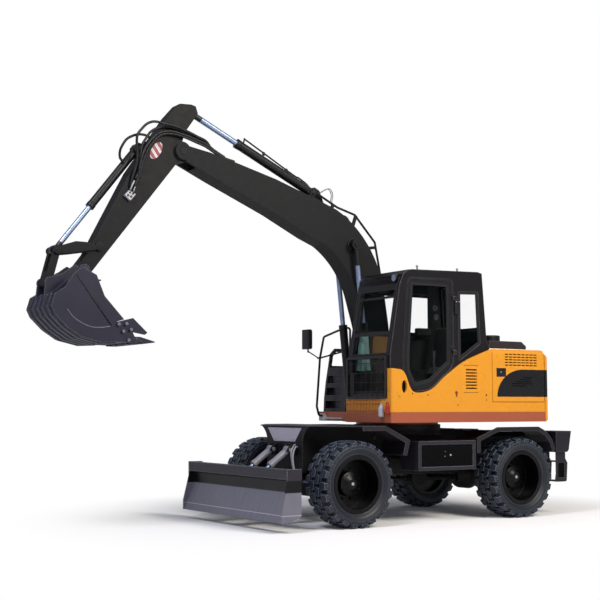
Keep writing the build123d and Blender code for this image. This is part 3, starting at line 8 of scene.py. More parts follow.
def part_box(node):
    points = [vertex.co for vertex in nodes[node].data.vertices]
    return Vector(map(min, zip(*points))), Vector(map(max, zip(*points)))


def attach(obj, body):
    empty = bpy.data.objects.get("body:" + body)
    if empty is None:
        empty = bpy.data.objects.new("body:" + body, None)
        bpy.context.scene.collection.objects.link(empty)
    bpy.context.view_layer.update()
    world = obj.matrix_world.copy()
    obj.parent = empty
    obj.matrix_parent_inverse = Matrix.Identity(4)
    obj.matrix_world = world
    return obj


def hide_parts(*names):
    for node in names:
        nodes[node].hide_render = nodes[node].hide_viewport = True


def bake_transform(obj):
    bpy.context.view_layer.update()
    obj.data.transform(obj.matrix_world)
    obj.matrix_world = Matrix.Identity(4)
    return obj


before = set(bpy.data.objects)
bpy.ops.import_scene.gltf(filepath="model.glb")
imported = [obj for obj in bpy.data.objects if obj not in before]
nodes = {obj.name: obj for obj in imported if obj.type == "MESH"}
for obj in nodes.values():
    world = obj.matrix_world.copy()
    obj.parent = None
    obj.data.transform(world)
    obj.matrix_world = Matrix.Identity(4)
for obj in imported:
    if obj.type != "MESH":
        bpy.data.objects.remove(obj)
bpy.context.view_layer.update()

# Camera, floor and light. The machine stands on a plain pale floor before white, seen from its
# left front corner at about eye height, in soft light that comes mostly from above its left side.
scene = bpy.context.scene
camera_place = Vector((8.4805, 12.9738, 1.4793))
camera_aim = Vector((-0.54228, -0.83545, 0.08918))
camera = bpy.data.objects.new("camera", bpy.data.cameras.new("camera"))
camera.data.lens = 71.12
camera.data.sensor_width = 36
camera.data.clip_end = 200
camera.location = camera_place
camera.rotation_euler = camera_aim.to_track_quat("-Z", "Y").to_euler()
scene.collection.objects.link(camera)
scene.camera = camera
scene.view_settings.view_transform = "Standard"


def linear(colour):
    """Linear colour of an sRGB hex value."""
    parts = [int(colour[i:i + 2], 16) / 255 for i in (1, 3, 5)]
    return [c / 12.92 if c <= 0.04045 else ((c + 0.055) / 1.055) ** 2.4 for c in parts] + [1]


def clear_tree(holder):
    """Empty node tree of a world or a material."""
    holder.use_nodes = True
    holder.node_tree.nodes.clear()
    return holder.node_tree


def join(node, sockets):
    """Gives each input a value, an sRGB colour, an output, or the first output of a node that is on."""
    for name, value in sockets.items():
        if isinstance(value, str):
            value = linear(value)
        if isinstance(value, bpy.types.Node):
            value = next(output for output in value.outputs if output.enabled)
        if isinstance(value, bpy.types.NodeSocket):
            node.id_data.links.new(value, node.inputs[name])
        else:
            node.inputs[name].default_value = value


def add_node(tree, kind, sockets=None, **settings):
    """Adds one shader node with its settings and links; a mix node mixes colours."""
    made = tree.nodes.new("ShaderNode" + kind)
    if kind == "Mix":
        made.data_type = "RGBA"
    for name, value in settings.items():
        setattr(made, name, value)
    join(made, sockets or {})
    return made


def new_material(name):
    """Material with a plain surface, its tree, the place on the object, and that surface."""
    material = bpy.data.materials.new(name)
    tree = clear_tree(material)
    surface = add_node(tree, "BsdfPrincipled")
    add_node(tree, "OutputMaterial", {"Surface": surface})
    return material, tree, add_node(tree, "TexCoord").outputs["Object"], surface


world = bpy.data.worlds.new("studio")
sky_tree = clear_tree(world)
rays = add_node(sky_tree, "LightPath")
seen = add_node(sky_tree, "Math", {0: rays.outputs["Is Camera Ray"], 1: rays.outputs["Is Transmission Ray"]},
    operation="MAXIMUM")
ambient = add_node(sky_tree, "Background", {"Color": "#EEF2FF", "Strength": 0.34})
backdrop = add_node(sky_tree, "Background", {"Color": (1, 1, 1, 1), "Strength": 1.0})
sky = add_node(sky_tree, "MixShader", {0: seen, 1: ambient, 2: backdrop})
add_node(sky_tree, "OutputWorld", {"Surface": sky})
scene.world = world

# name, place, width of the disc, power and colour
lamps = (
    ("key", (-2.5, 10.0, 9.0), 5.0, 1000, "#FFF8EC"),
    ("front", (8.0, 5.0, 11.0), 4.0, 620, "#F4F4FF"),
    ("rear", (-9.0, -7.0, 8.0), 6.0, 260, "#FFFFFF"),
)
for name, place, size, power, colour in lamps:
    lamp = bpy.data.objects.new("lamp_" + name, bpy.data.lights.new(name, "AREA"))
    lamp.data.shape = "DISK"
    lamp.data.size = size
    lamp.data.energy = power
    lamp.data.color = linear(colour)[:3]
    lamp.location = place
    lamp.rotation_euler = (Vector((-1.2, 0, 1.6)) - Vector(place)).to_track_quat("-Z", "Y").to_euler()
    scene.collection.objects.link(lamp)


def absorb(whole, shape):
    """Adds the shape to the whole and frees it."""
    piece = bpy.data.meshes.new("piece")
    shape.to_mesh(piece)
    shape.free()
    whole.from_mesh(piece)
    bpy.data.meshes.remove(piece)


def mesh_of(name, *shapes):
    """One mesh of these shapes, which are freed."""
    whole = bmesh.new()
    for shape in shapes:
        absorb(whole, shape)
    mesh = bpy.data.meshes.new(name)
    whole.to_mesh(mesh)
    whole.free()
    return mesh


floor_finish = bpy.data.materials.new("studio_floor")
tree = clear_tree(floor_finish)
place = add_node(tree, "TexCoord").outputs["Object"]
flat_place = add_node(tree, "VectorMath", {0: place, 1: (1, 1, 0)}, operation="MULTIPLY")
spread = add_node(tree, "VectorMath", {0: flat_place, 1: (-1.4, 0, 0)}, operation="DISTANCE")
fade = add_node(tree, "MapRange", {"Value": spread, "From Min": 2.6, "From Max": 5.2},
    interpolation_type="SMOOTHSTEP")
rays = add_node(tree, "LightPath")
glow = add_node(tree, "Math", {0: fade, 1: rays.outputs["Is Camera Ray"]}, operation="MULTIPLY")
matt = add_node(tree, "BsdfDiffuse", {"Color": "#F6F6F6", "Roughness": 0.8})
white = add_node(tree, "Emission", {"Color": (1, 1, 1, 1), "Strength": 1.0})
both = add_node(tree, "MixShader", {0: glow, 1: matt, 2: white})
add_node(tree, "OutputMaterial", {"Surface": both})
floor_mesh = bmesh.new()
bmesh.ops.create_circle(floor_mesh, cap_ends=True, segments=96, radius=60)
floor = bpy.data.objects.new("floor", mesh_of("floor", floor_mesh))
floor.data.materials.append(floor_finish)
scene.collection.objects.link(floor)


def paint_nodes(material, *names):
    """Gives the CAD nodes this finish and hands it back."""
    for name in names:
        for slot in nodes[name].material_slots:
            slot.material = material
    return material


def edge_wear_and_highlight(tree, soft, deepest, most=1.0):
    """How far an edge is rubbed and lit by painted highlight: none on a flat face, the most where the softened
    normal turns away.
    """
    flat = add_node(tree, "NewGeometry")
    turn = add_node(tree, "VectorMath", {0: soft, 1: flat.outputs["Normal"]}, operation="DOT_PRODUCT")
    return add_node(tree, "MapRange", {"Value": turn, "From Min": 0.98, "From Max": deepest, "To Max": most})


def sprayed_steel(name, colour, roughness, *painted, drift=0.1, edge=None, edge_size=0.012, dust=0.0, coat=0.0,
        gleam=0.5):
    """Enamel sprayed on steel plate: a slow drift of tone, an uneven gloss and softened edges; an edge colour
    lightens the edges as rubbed paint and as painted highlight.
    """
    material, tree, place, surface = new_material(name)
    # patches half a metre wide, as sun and dust leave them
    patches = add_node(tree, "TexNoise", {"Vector": place, "Scale": 2.1, "Detail": 5, "Roughness": 0.6})
    deep, pale = ([min(1, c * share) for c in linear(colour)[:3]] + [1] for share in (1 - drift, 1 + drift))
    shade = add_node(tree, "Mix", {0: patches, 6: deep, 7: pale})
    soft = add_node(tree, "Bevel", {"Radius": edge_size}, samples=4)
    # the edge colour is partly rubbed paint and partly a painted highlight along the edges
    if edge:
        grit = add_node(tree, "TexNoise", {"Vector": place, "Scale": 45, "Detail": 3})
        chipped_and_highlit = add_node(tree, "Math", {0: edge_wear_and_highlight(tree, soft, 0.86), 1: grit}, operation="MULTIPLY")
        shade = add_node(tree, "Mix", {0: chipped_and_highlit, 6: shade, 7: edge})
    if dust:
        height = add_node(tree, "SeparateXYZ", {0: place}).outputs["Z"]
        low = add_node(tree, "MapRange", {"Value": height, "From Min": 1.0, "From Max": 0.1, "To Max": dust})
        cloud = add_node(tree, "TexNoise", {"Vector": place, "Scale": 9, "Detail": 6})
        film = add_node(tree, "Math", {0: low, 1: cloud}, operation="MULTIPLY")
        shade = add_node(tree, "Mix", {0: film, 6: shade, 7: "#6E6E74"})
    gloss = add_node(tree, "TexNoise", {"Vector": place, "Scale": 14, "Detail": 4})
    matt = add_node(tree, "MapRange", {"Value": gloss, "To Min": roughness - 0.07, "To Max": roughness + 0.1})
    # orange peel is 2 to 4 mm wide, drawn at 12 mm so that it shows
    peel = add_node(tree, "TexNoise", {"Vector": place, "Scale": 85, "Detail": 2})
    grain = add_node(tree, "Bump", {"Height": peel, "Normal": soft, "Strength": 0.1, "Distance": 0.002})
    join(surface, {"Base Color": shade, "Roughness": matt, "Normal": grain, "IOR": 1.5, "Coat Weight": coat,
        "Specular IOR Level": gleam})
    return paint_nodes(material, *painted)


# the edge colours of these finishes are partly rubbed paint and partly painted highlight
sprayed_steel("black_chassis_enamel", "#121114", 0.5, "chassis", edge="#6B6A72", dust=0.08, gleam=0.3)
sprayed_steel("dark_deck_enamel", "#242127", 0.5, "decks", edge="#8A8790", gleam=0.3)
sprayed_steel("dark_box_enamel", "#201E25", 0.45, "rear_boxes", edge="#77757F", dust=0.1, gleam=0.3)
sprayed_steel("dark_side_box_enamel", "#29272E", 0.5, "side_boxes", edge="#9A97A2", dust=0.06, gleam=0.3)
sprayed_steel("black_cast_iron", "#0C0C0E", 0.55, "front_axle", "rear_axle", "drive_line", "knuckle_left",
    "knuckle_right", "slew_ring", drift=0.25, dust=0.15)
sprayed_steel("grey_barrel_enamel", "#8B8994", 0.35, "blade_barrels", edge="#C4C3CC")


# Blade. Rolled plate, sprayed near black. Its lower face is a light grey with a fine scratched grain, worn
# so by the soil's scouring and also painted light of a face turned up; the recess above it is painted
# shade under the overhang, and a painted highlight runs along the top of the cutting edge.
def second_coat(material, share, colour):
    """Lays a colour over a sprayed paint, by this share of it."""
    surface = next(node for node in material.node_tree.nodes if node.type == "BSDF_PRINCIPLED")
    shade = surface.inputs["Base Color"].links[0].from_socket
    join(surface, {"Base Color": add_node(material.node_tree, "Mix", {0: share, 6: shade, 7: colour})})
    return material


def scoured_lit_and_shaded_plate(name):
    material = sprayed_steel(name, "#2E2C34", 0.42, drift=0.12, edge="#B3B2BF", gleam=0.3)
    tree = material.node_tree
    place = add_node(tree, "TexCoord").outputs["Object"]
    height = add_node(tree, "SeparateXYZ", {0: place}).outputs["Z"]
    # scratches run up and down, 30 mm apart and a quarter of a metre long
    fine = add_node(tree, "VectorMath", {0: place, 1: (1, 9, 1)}, operation="MULTIPLY")
    scratches = add_node(tree, "TexNoise", {"Vector": fine, "Scale": 4, "Detail": 6})
    scoured_and_lit = add_node(tree, "Mix", {0: scratches, 6: "#6B6A76", 7: "#868592"})
    # the face below 0.47 m is painted lighter: worn steel, and painted light of a face turned up
    low = add_node(tree, "MapRange", {"Value": height, "From Min": 0.475, "From Max": 0.465})
    # the recess above it, under the top's overhang, is painted dark as shade
    painted_hollow_shade = add_node(tree, "MapRange", {"Value": height, "From Min": 0.612, "From Max": 0.606})
    # a painted highlight marks the line where the bolted cutting edge begins
    line = add_node(tree, "Math", {0: height, 1: 0.208, 2: 0.004}, operation="COMPARE")
    for share, colour in ((painted_hollow_shade, "#08070D"), (low, scoured_and_lit), (line, "#B6B5C2")):
        second_coat(material, share, colour)
    return material


paint_nodes(scoured_lit_and_shaded_plate("scoured_lit_and_shaded_blade_enamel"), "blade")


# Small steelwork of the undercarriage. A light enamelled plate closes the top of the frame's face, with
# screws in its corners, and the pins of the blade have plated discs with a bolt at their ends.
SLEW_X = -1.525


def at(x, y, z):
    """Point in the row frame of a place measured from the slew axis."""
    return Vector((SLEW_X + x, y, z))


def extruded(shape, faces):
    """Extrudes these faces and gives the corners of the new ones."""
    grown = bmesh.ops.extrude_face_region(shape, geom=faces)
    return [item for item in grown["geom"] if isinstance(item, bmesh.types.BMVert)]


def face_outwards(shape):
    bmesh.ops.recalc_face_normals(shape, faces=shape.faces[:])


def rounded(shape, edges, size, segments=3):
    bmesh.ops.bevel(shape, geom=edges, offset=size, segments=segments, profile=0.5, affect="EDGES", material=-1)


def pressed_plate(outline, depth, rounding=0.0):
    """Plate with this outline in space and this thickness, its edges rounded."""
    plate = bmesh.new()
    face = plate.faces.new([plate.verts.new(point) for point in outline])
    bmesh.ops.translate(plate, verts=extruded(plate, [face]), vec=depth)
    face_outwards(plate)
    if rounding:
        rounded(plate, plate.edges[:], rounding)
    return plate


def wall_plate(outline, y, thickness, rounding=0.0):
    """Plate that faces left or right, its outline given along the machine and in height."""
    return pressed_plate([at(x, y, z) for x, z in outline], Vector((0, thickness, 0)), rounding)


def square(x, z, far_x, far_z):
    """Outline of a rectangle from one corner to the one across."""
    return (x, z), (far_x, z), (far_x, far_z), (x, far_z)


def standing(centre, direction):
    """Matrix that sets a form made along Z here, along this direction."""
    turn = Vector(direction).to_track_quat("Z", "Y").to_matrix().to_4x4()
    return Matrix.Translation(Vector(centre)) @ turn


def stud(centre, direction, radius, height, segments=16, narrowing=0.85):
    """Round or six-sided head that stands on a face."""
    head = bmesh.new()
    bmesh.ops.create_cone(head, cap_ends=True, segments=segments, radius1=radius, radius2=radius * narrowing,
        depth=height, matrix=standing(centre, direction))
    return head


def turned(profile, centre, direction=(0, 0, 1), segments=32):
    """Turned piece: the profile gives height along the axis and radius, and both ends meet the axis."""
    piece = bmesh.new()
    points = [piece.verts.new((radius, 0, height)) for height, radius in profile]
    edges = [piece.edges.new(pair) for pair in zip(points, points[1:])]
    bmesh.ops.spin(piece, geom=points + edges, cent=(0, 0, 0), axis=(0, 0, 1), angle=2 * pi, steps=segments,
        use_merge=True)
    bmesh.ops.remove_doubles(piece, verts=piece.verts[:], dist=1e-5)
    face_outwards(piece)
    bmesh.ops.transform(piece, matrix=standing(centre, direction), verts=piece.verts[:])
    return piece


def placed(name, material, body, slot, *shapes):
    """Piece of these shapes with this finish, riding on a CAD body."""
    made = bpy.data.objects.new(name, mesh_of(name, *shapes))
    made.data.materials.append(material)
    scene.collection.objects.link(made)
    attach(made, body)
    return made


black_steel = sprayed_steel("black_painted_sheet", "#040405", 0.7, drift=0.2, gleam=0.1)
plated = sprayed_steel("zinc_plated_steel", "#B4B6BC", 0.3, drift=0.08)
cover_paint = sprayed_steel("light_cover_enamel", "#B2AEBD", 0.4, drift=0.14)
FACE_X = 1.82
FRONT, LEFT, UP = Vector((1, 0, 0)), Vector((0, 1, 0)), Vector((0, 0, 1))
cover = [at(FACE_X, y, z) for y, z in ((-0.41, 1.205), (-0.25, 1.03), (0.25, 1.03), (0.41, 1.205))]
screw_places = [at(FACE_X + 0.008, y, z) for y in (-0.21, 0.21) for z in (1.19, 1.06)]
placed("frame_cover", cover_paint, "root", "dark_paint", pressed_plate(cover, FRONT * 0.005, 0.001))
placed("frame_cover_screws", plated, "root", "grey_steel",
    *[stud(spot, FRONT, 0.011, 0.007, 6) for spot in screw_places])
PIVOT_X, PIVOT_Y, PIVOT_Z = 1.89, 0.328, 0.47
SIDES = (1, "left"), (-1, "right")
retainers = []
for hand, _ in SIDES:
    retainers.append(stud(at(PIVOT_X, hand * PIVOT_Y, PIVOT_Z), (0, hand, 0), 0.05, 0.008, 24))
    retainers.append(stud(at(PIVOT_X + 0.02, hand * (PIVOT_Y + 0.007), PIVOT_Z), (0, hand, 0), 0.014, 0.012, 6))
placed("blade_pin_retainers", plated, "root", "grey_steel", *retainers)


# Doors of the side boxes. A black door lies in the recess of each box's face, closed by one plated
# lock and two small screws.
BOX_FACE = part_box("side_boxes")[1].y - 0.012
lock_table = (0.015, 0.854, 0.014), (0.106, 0.9, 0.006), (0.113, 0.838, 0.006)
for hand, side_name in SIDES:
    placed("box_door_" + side_name, black_steel, "root", "dark_paint",
        wall_plate(square(-0.353, 0.714, 0.493, 0.984), hand * BOX_FACE, hand * 0.004, 0.001))
    locks = [stud(at(x, hand * (BOX_FACE + 0.006), z), (0, hand, 0), radius, 0.005)
        for x, z, radius in lock_table]
    placed("box_locks_" + side_name, plated, "root", "grey_steel", *locks)


# Liners of the rear wheel arches. Black rubber sheets hang under the fenders' tops, inside the wheels,
# and keep the mud off the frame.
LINER_Y = 0.772
for hand, side_name in SIDES:
    liner = (-1.64, 1.131), (-0.82, 1.131), (-0.7, 1.07), (-1.64, 1.07)
    placed("arch_liner_" + side_name, black_steel, "root", "black_plastic",
        wall_plate(liner, hand * LINER_Y, hand * 0.005))


# Backing plates of the rear steps. Pressed black steel, 6 mm thick, stands behind the frame of each
# step and closes its window, as painted shade for the dark seen through it.
WINDOW_Y = 1.1098
for hand, side_name in SIDES:
    placed("step_shade_backing_" + side_name, black_steel, "root", "dark_paint",
        wall_plate(square(-2.052, 0.49, -1.906, 0.72), hand * WINDOW_Y, hand * -0.006))


# Front pipes. Plated steel pipes leave the frame's face between the blade cylinders and the left
# wheel, bow forward and go back into it lower down.
def smooth_line(points, steps=6):
    """Points of a curve through the given ones."""
    line = []
    ends = [points[0] * 2 - points[1]] + list(points) + [points[-1] * 2 - points[-2]]
    for a, b, c, d in zip(ends, ends[1:], ends[2:], ends[3:]):
        for step in range(steps):
            t = step / steps
            line.append(0.5 * ((2 * b) + (c - a) * t + (2 * a - 5 * b + 4 * c - d) * t * t
                + (3 * b - a - 3 * c + d) * t ** 3))
    line.append(points[-1])
    return line


def tube(line, radius, sides=12):
    """Round tube along a line, closed at both ends."""
    pipe = bmesh.new()
    rings = []
    side = UP if abs((line[1] - line[0]).normalized().y) > 0.9 else LEFT
    for i, point in enumerate(line):
        ahead = (line[min(i + 1, len(line) - 1)] - line[max(i - 1, 0)]).normalized()
        side = (side - ahead * side.dot(ahead)).normalized()
        up = ahead.cross(side)
        turns = [2 * pi * k / sides for k in range(sides)]
        rings.append([pipe.verts.new(point + (side * cos(a) + up * sin(a)) * radius) for a in turns])
    for near, far in zip(rings, rings[1:]):
        for k in range(sides):
            pipe.faces.new((near[k], near[(k + 1) % sides], far[(k + 1) % sides], far[k]))
    pipe.faces.new(rings[0][::-1])
    pipe.faces.new(rings[-1])
    face_outwards(pipe)
    for face in pipe.faces:
        face.smooth = len(face.verts) == 4
    return pipe


front_pipes = []
for y, top, low in ((0.265, 0.985, 0.66), (0.3, 0.96, 0.6)):
    middle = (top + low) / 2 + 0.05
    bow = (1.815, 0, top), (1.85, 0, top), (1.895, 0.01, middle), (1.86, 0.02, low), (1.815, 0.02, low - 0.01)
    front_pipes.append(tube(smooth_line([at(x, y + side, z) for x, side, z in bow]), 0.011))
placed("front_pipes", plated, "root", "grey_steel", *front_pipes)


# Cylinder rods. Ground steel with hard chrome, smooth and bright, with an oil film that darkens it
# here and there, and a bluish cast that is painted reflection of sky; their eyes are forged and enamelled
# black.
def chromed_rod(name, eye=None, reach=0.0):
    """Hard chrome; within reach of the rod's eye it is forged steel under black enamel instead."""
    material, tree, place, surface = new_material(name)
    film = add_node(tree, "TexNoise", {"Vector": place, "Scale": 7, "Detail": 3})
    # the two bluish tones are painted reflection of sky on the chrome
    tone = add_node(tree, "Mix", {0: film, 6: "#7C90B4", 7: "#B7C7E2"})
    matt = add_node(tree, "MapRange", {"Value": film, "To Min": 0.28, "To Max": 0.4})
    join(surface, {"Base Color": tone, "Metallic": 0.9, "Roughness": matt})
    if eye:
        flat = add_node(tree, "VectorMath", {0: place, 1: (1, 0, 1)}, operation="MULTIPLY")
        away = add_node(tree, "VectorMath", {0: flat, 1: (eye.x, 0, eye.z)}, operation="DISTANCE")
        forged = add_node(tree, "Math", {0: away, 1: reach}, operation="LESS_THAN")
        metal = add_node(tree, "MapRange", {"Value": forged, "To Min": 0.9, "To Max": 0.0})
        both = add_node(tree, "Mix", {0: forged, 6: tone, 7: "#0A0A0C"})
        join(surface, {"Base Color": both, "Metallic": metal})
    return material


paint_nodes(chromed_rod("hard_chrome"), "blade_rods", "steering_rod")
# each rod with the place of its eye and how far the forged end reaches from it
for name, x, z, reach in (("boom_rods", 0.845, 3.61, 0.27), ("arm_rod", 3.237, 5.142, 0.18),
        ("bucket_rod", 4.98, 3.27, 0.13)):
    paint_nodes(chromed_rod("hard_chrome_" + name, at(x, 0, z), reach), name)


# Wheels. Moulded black rubber with a bluish bloom on the sidewalls, bulging a little over a black
# rim with a deep dish; the tread is rows of separate blocks, staggered from side to side, their tops
# painted lighter as lit from above and the floor between them painted dark as shade.
def tyre_rubber(name, deep, pale, edge_wear_and_highlight_colour, wear):
    """Vulcanised rubber: bluish bloom and dust, and edges lightened as rubbed rubber and as painted highlight;
    the darkest of these finishes is painted shade in the grooves.
    """
    material, tree, place, surface = new_material(name)
    bloom = add_node(tree, "TexNoise", {"Vector": place, "Scale": 6, "Detail": 6, "Roughness": 0.65})
    tone = add_node(tree, "Mix", {0: bloom, 6: deep, 7: pale})
    soft = add_node(tree, "Bevel", {"Radius": 0.008}, samples=4)
    edge = add_node(tree, "Mix", {0: edge_wear_and_highlight(tree, soft, 0.85, wear), 6: tone, 7: edge_wear_and_highlight_colour})
    matt = add_node(tree, "MapRange", {"Value": bloom, "To Min": 0.38, "To Max": 0.6})
    # mould grain is under 1 mm, drawn at 8 mm
    grain = add_node(tree, "TexNoise", {"Vector": place, "Scale": 120, "Detail": 3})
    bump = add_node(tree, "Bump", {"Height": grain, "Normal": soft, "Strength": 0.2, "Distance": 0.002})
    join(surface, {"Base Color": edge, "IOR": 1.5, "Roughness": matt, "Normal": bump})
    return material


sidewall_rubber = tyre_rubber("bloomed_sidewall_rubber", "#080A0F", "#1E2430", "#7B889B", 0.4)
# the tread finish is painted lighter as lit from above, and its light edges are partly painted highlight
lit_tread_rubber = tyre_rubber("worn_and_lit_tread_rubber", "#11151D", "#2E3848", "#9DACC2", 0.8)
# the groove finish is painted shade between the blocks
shaded_groove_rubber = tyre_rubber("painted_shade_groove_rubber", "#030406", "#07080B", "#14181F", 0.2)
rim_paint = sprayed_steel("black_rim_enamel", "#020203", 0.35, drift=0.2, edge="#23262E", gleam=0.3)
TYRE_RADIUS = 0.53
TYRE_HALF = 0.215
PITCHES, RIBS = 22, 44
# past this half width the crown falls off by this much and this power of the distance
CROWN_Y, CROWN_FALL, CROWN_POWER = 0.15, 0.55, 1.3
# a block is wider at its foot by this share
FOOT_SPREAD = 1.07
# the blocks stand on the tread at the first radius and, past this half width, on the shoulder
TREAD_FOOT, SHOULDER_FOOT, SHOULDER_Y = 0.484, 0.452, 0.19
# radius and half width of the carcass, from the bead over the sidewall to the middle of the tread
carcass = [(0.332, 0.15), (0.345, 0.166), (0.362, 0.176), (0.371, 0.184), (0.376, 0.18), (0.384, 0.19),
    (0.412, 0.206), (0.436, 0.213), (0.44, 0.209), (0.446, 0.213), (0.468, 0.212), (0.482, 0.203),
    (0.49, 0.186), (0.494, 0.12), (0.495, 0)]
# each row of blocks: its outline, along and across the tread, and its share of a pitch ahead
tread_rows = (
    (((-0.052, 0.01), (-0.034, 0.012), (-0.022, 0.006), (0.044, 0.008), (0.06, 0.04), (0.048, 0.086),
        (0.03, 0.082), (0.014, 0.092), (-0.042, 0.09), (-0.06, 0.052)), 0),
    (((-0.046, 0.112), (0.026, 0.106), (0.046, 0.122), (0.052, 0.16), (0.044, 0.206), (-0.034, 0.206),
        (-0.048, 0.16)), 0.5),
)


def repeated(shape, count):
    """Copies the shape round the axle, evenly spaced, until there are this many."""
    bmesh.ops.spin(shape, geom=shape.faces[:], cent=(0, 0, 0), axis=(0, 1, 0),
        angle=2 * pi * (count - 1) / count, steps=count - 1, use_duplicate=True)


def tyre_shape(centre):
    """Carcass, tread blocks and sidewall ribs of one tyre."""
    tyre = bmesh.new()
    ring = [tyre.verts.new((0, y, r)) for r, y in carcass]
    ring += [tyre.verts.new((0, -y, r)) for r, y in carcass[-2::-1]]
    edges = [tyre.edges.new(pair) for pair in zip(ring, ring[1:])]
    edges.append(tyre.edges.new((ring[-1], ring[0])))
    bmesh.ops.spin(tyre, geom=ring + edges, cent=(0, 0, 0), axis=(0, 1, 0), angle=2 * pi, steps=96,
        use_merge=True)
    face_outwards(tyre)
    # the tread's floor between the blocks takes the groove finish, painted shade
    for face in tyre.faces:
        middle = face.calc_center_median()
        if (middle.x ** 2 + middle.z ** 2) ** 0.5 > TREAD_FOOT:
            face.material_index = 1
    pitch = 2 * pi / PITCHES
    for side in (1, -1):
        for outline, ahead in tread_rows:
            start = pitch * (ahead + (0.5 if side < 0 else 0))
            block = bmesh.new()
            top = []
            for along, across in outline:
                turn = along / TYRE_RADIUS + start
                radius = TYRE_RADIUS - 0.0005 - CROWN_FALL * max(0, across - CROWN_Y) ** CROWN_POWER
                top.append(block.verts.new((radius * sin(turn), side * across, radius * cos(turn))))
            face = block.faces.new(top if side > 0 else top[::-1])
            base = extruded(block, [face])
            across = sum(abs(v.co.y) for v in base) / len(base)
            middle = Vector((TYRE_RADIUS * sin(start), side * across, TYRE_RADIUS * cos(start)))
            for corner in base:
                corner.co = middle + (corner.co - middle) * FOOT_SPREAD
                radius = TREAD_FOOT if abs(corner.co.y) < SHOULDER_Y else SHOULDER_FOOT
                flat_radius = (corner.co.x ** 2 + corner.co.z ** 2) ** 0.5
                corner.co.x *= radius / flat_radius
                corner.co.z *= radius / flat_radius
                corner.co.y = max(-TYRE_HALF + 0.001, min(TYRE_HALF - 0.001, corner.co.y))
            face_outwards(block)
            crest = [edge for edge in block.edges if all(v not in base for v in edge.verts)]
            rounded(block, crest, 0.004, 1)
            repeated(block, PITCHES)
            # the blocks take the tread finish, painted lighter as lit from above
            for face in block.faces:
                face.material_index = 2
            absorb(tyre, block)
        # ribs on the sidewall, between the bead and the shoulder
        foot = (-0.005, 0.2095, 0.452), (0.005, 0.2095, 0.452), (0.003, 0.2085, 0.474), (-0.003, 0.2085, 0.474)
        rib = pressed_plate([(x, side * y, z) for x, y, z in foot], Vector((0, side * 0.0045, 0)))
        repeated(rib, RIBS)
        absorb(tyre, rib)
    bmesh.ops.translate(tyre, verts=tyre.verts[:], vec=centre)
    return tyre


# wheel nuts on the disc and bolts on the hub: radius of the ring, size, height, count and face
nut_rings = (0.19, 0.016, 0.022, 10, -0.076), (0.125, 0.009, 0.012, 12, 0.0275)
for name in ("front_left", "front_right", "rear_left", "rear_right"):
    low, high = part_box("tyre_" + name)
    centre = (low + high) / 2
    hand = 1 if centre.y > 0 else -1
    tread = placed("tread_" + name, sidewall_rubber, "wheel_" + name, "tyre_rubber", tyre_shape(centre))
    for rubber in (shaded_groove_rubber, lit_tread_rubber):
        tread.data.materials.append(rubber)
    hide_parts("tyre_" + name)
    paint_nodes(rim_paint, "rim_" + name)
    out = Vector((0, hand, 0))
    nuts = []
    for ring, nut_radius, height, count, face_y in nut_rings:
        for step in range(count):
            angle = 2 * pi * step / count
            spot = Vector((ring * cos(angle), hand * (face_y + height / 2), ring * sin(angle)))
            nuts.append(stud(centre + spot, out, nut_radius, height, 6, 0.92))
    placed("wheel_nuts_" + name, rim_paint, "wheel_" + name, "black_casting", *nuts)
    placed("hub_plug_" + name, plated, "wheel_" + name, "grey_steel",
        stud(centre + out * 0.067, out, 0.024, 0.01, 24, 0.7))


# House. Pressed and rolled sheet sprayed warm yellow over a frame whose edge is brown-orange; the
# engine doors and the tail carry a dark swept panel, painted on and level with the sheet.
def yellow_enamel(name):
    return sprayed_steel(name, "#E99A1E", 0.28, drift=0.05, edge_size=0.016, coat=0.3)


paint_nodes(yellow_enamel("yellow_house_enamel"), "side_panels", "deck_covers", "hood")


def swept_panel_paint(name):
    """The same yellow with the dark swept panel: level edges and a quarter ellipse in front."""
    material = yellow_enamel(name)
    tree = material.node_tree
    axes = add_node(tree, "SeparateXYZ", {0: add_node(tree, "TexCoord").outputs["Object"]})
    panel_bottom, panel_height, panel_corner, panel_sweep = 1.603, 0.365, SLEW_X - 1.19, 0.465
    # shares of the panel's height and sweep, which add up to one on the ellipse
    rise, ahead = axes.outputs["Z"], axes.outputs["X"]
    for operation, amount in (("SUBTRACT", panel_bottom), ("DIVIDE", panel_height)):
        rise = add_node(tree, "Math", {0: rise, 1: amount}, operation=operation)
    for operation, amount in (("SUBTRACT", panel_corner), ("DIVIDE", panel_sweep), ("MAXIMUM", 0.0)):
        ahead = add_node(tree, "Math", {0: ahead, 1: amount}, operation=operation)
    squares = [add_node(tree, "Math", {0: share, 1: 2.0}, operation="POWER") for share in (rise, ahead)]
    total = add_node(tree, "Math", {0: squares[0], 1: squares[1]})
    inside = add_node(tree, "Math", {0: total, 1: 1.0}, operation="LESS_THAN")
    above = add_node(tree, "Math", {0: rise, 1: 0.0}, operation="GREATER_THAN")
    dark = add_node(tree, "Math", {0: inside, 1: above}, operation="MULTIPLY")
    return second_coat(material, dark, "#050405")


paint_nodes(swept_panel_paint("yellow_enamel_with_dark_panel"), "engine_doors", "counterweight")


def skirt_paint(name):
    """The same yellow, with the sill and the inner column by the windscreen sprayed black."""
    material = yellow_enamel(name)
    tree = material.node_tree
    axes = add_node(tree, "SeparateXYZ", {0: add_node(tree, "TexCoord").outputs["Object"]})
    column_y, sill_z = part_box("front_skirt")[1].y - 0.0825, 1.6
    above = add_node(tree, "Math", {0: axes.outputs["Z"], 1: sill_z}, operation="GREATER_THAN")
    beside = add_node(tree, "Math", {0: axes.outputs["Y"], 1: column_y}, operation="LESS_THAN")
    black = add_node(tree, "Math", {0: above, 1: beside}, operation="MULTIPLY")
    return second_coat(material, black, "#0B0B0D")


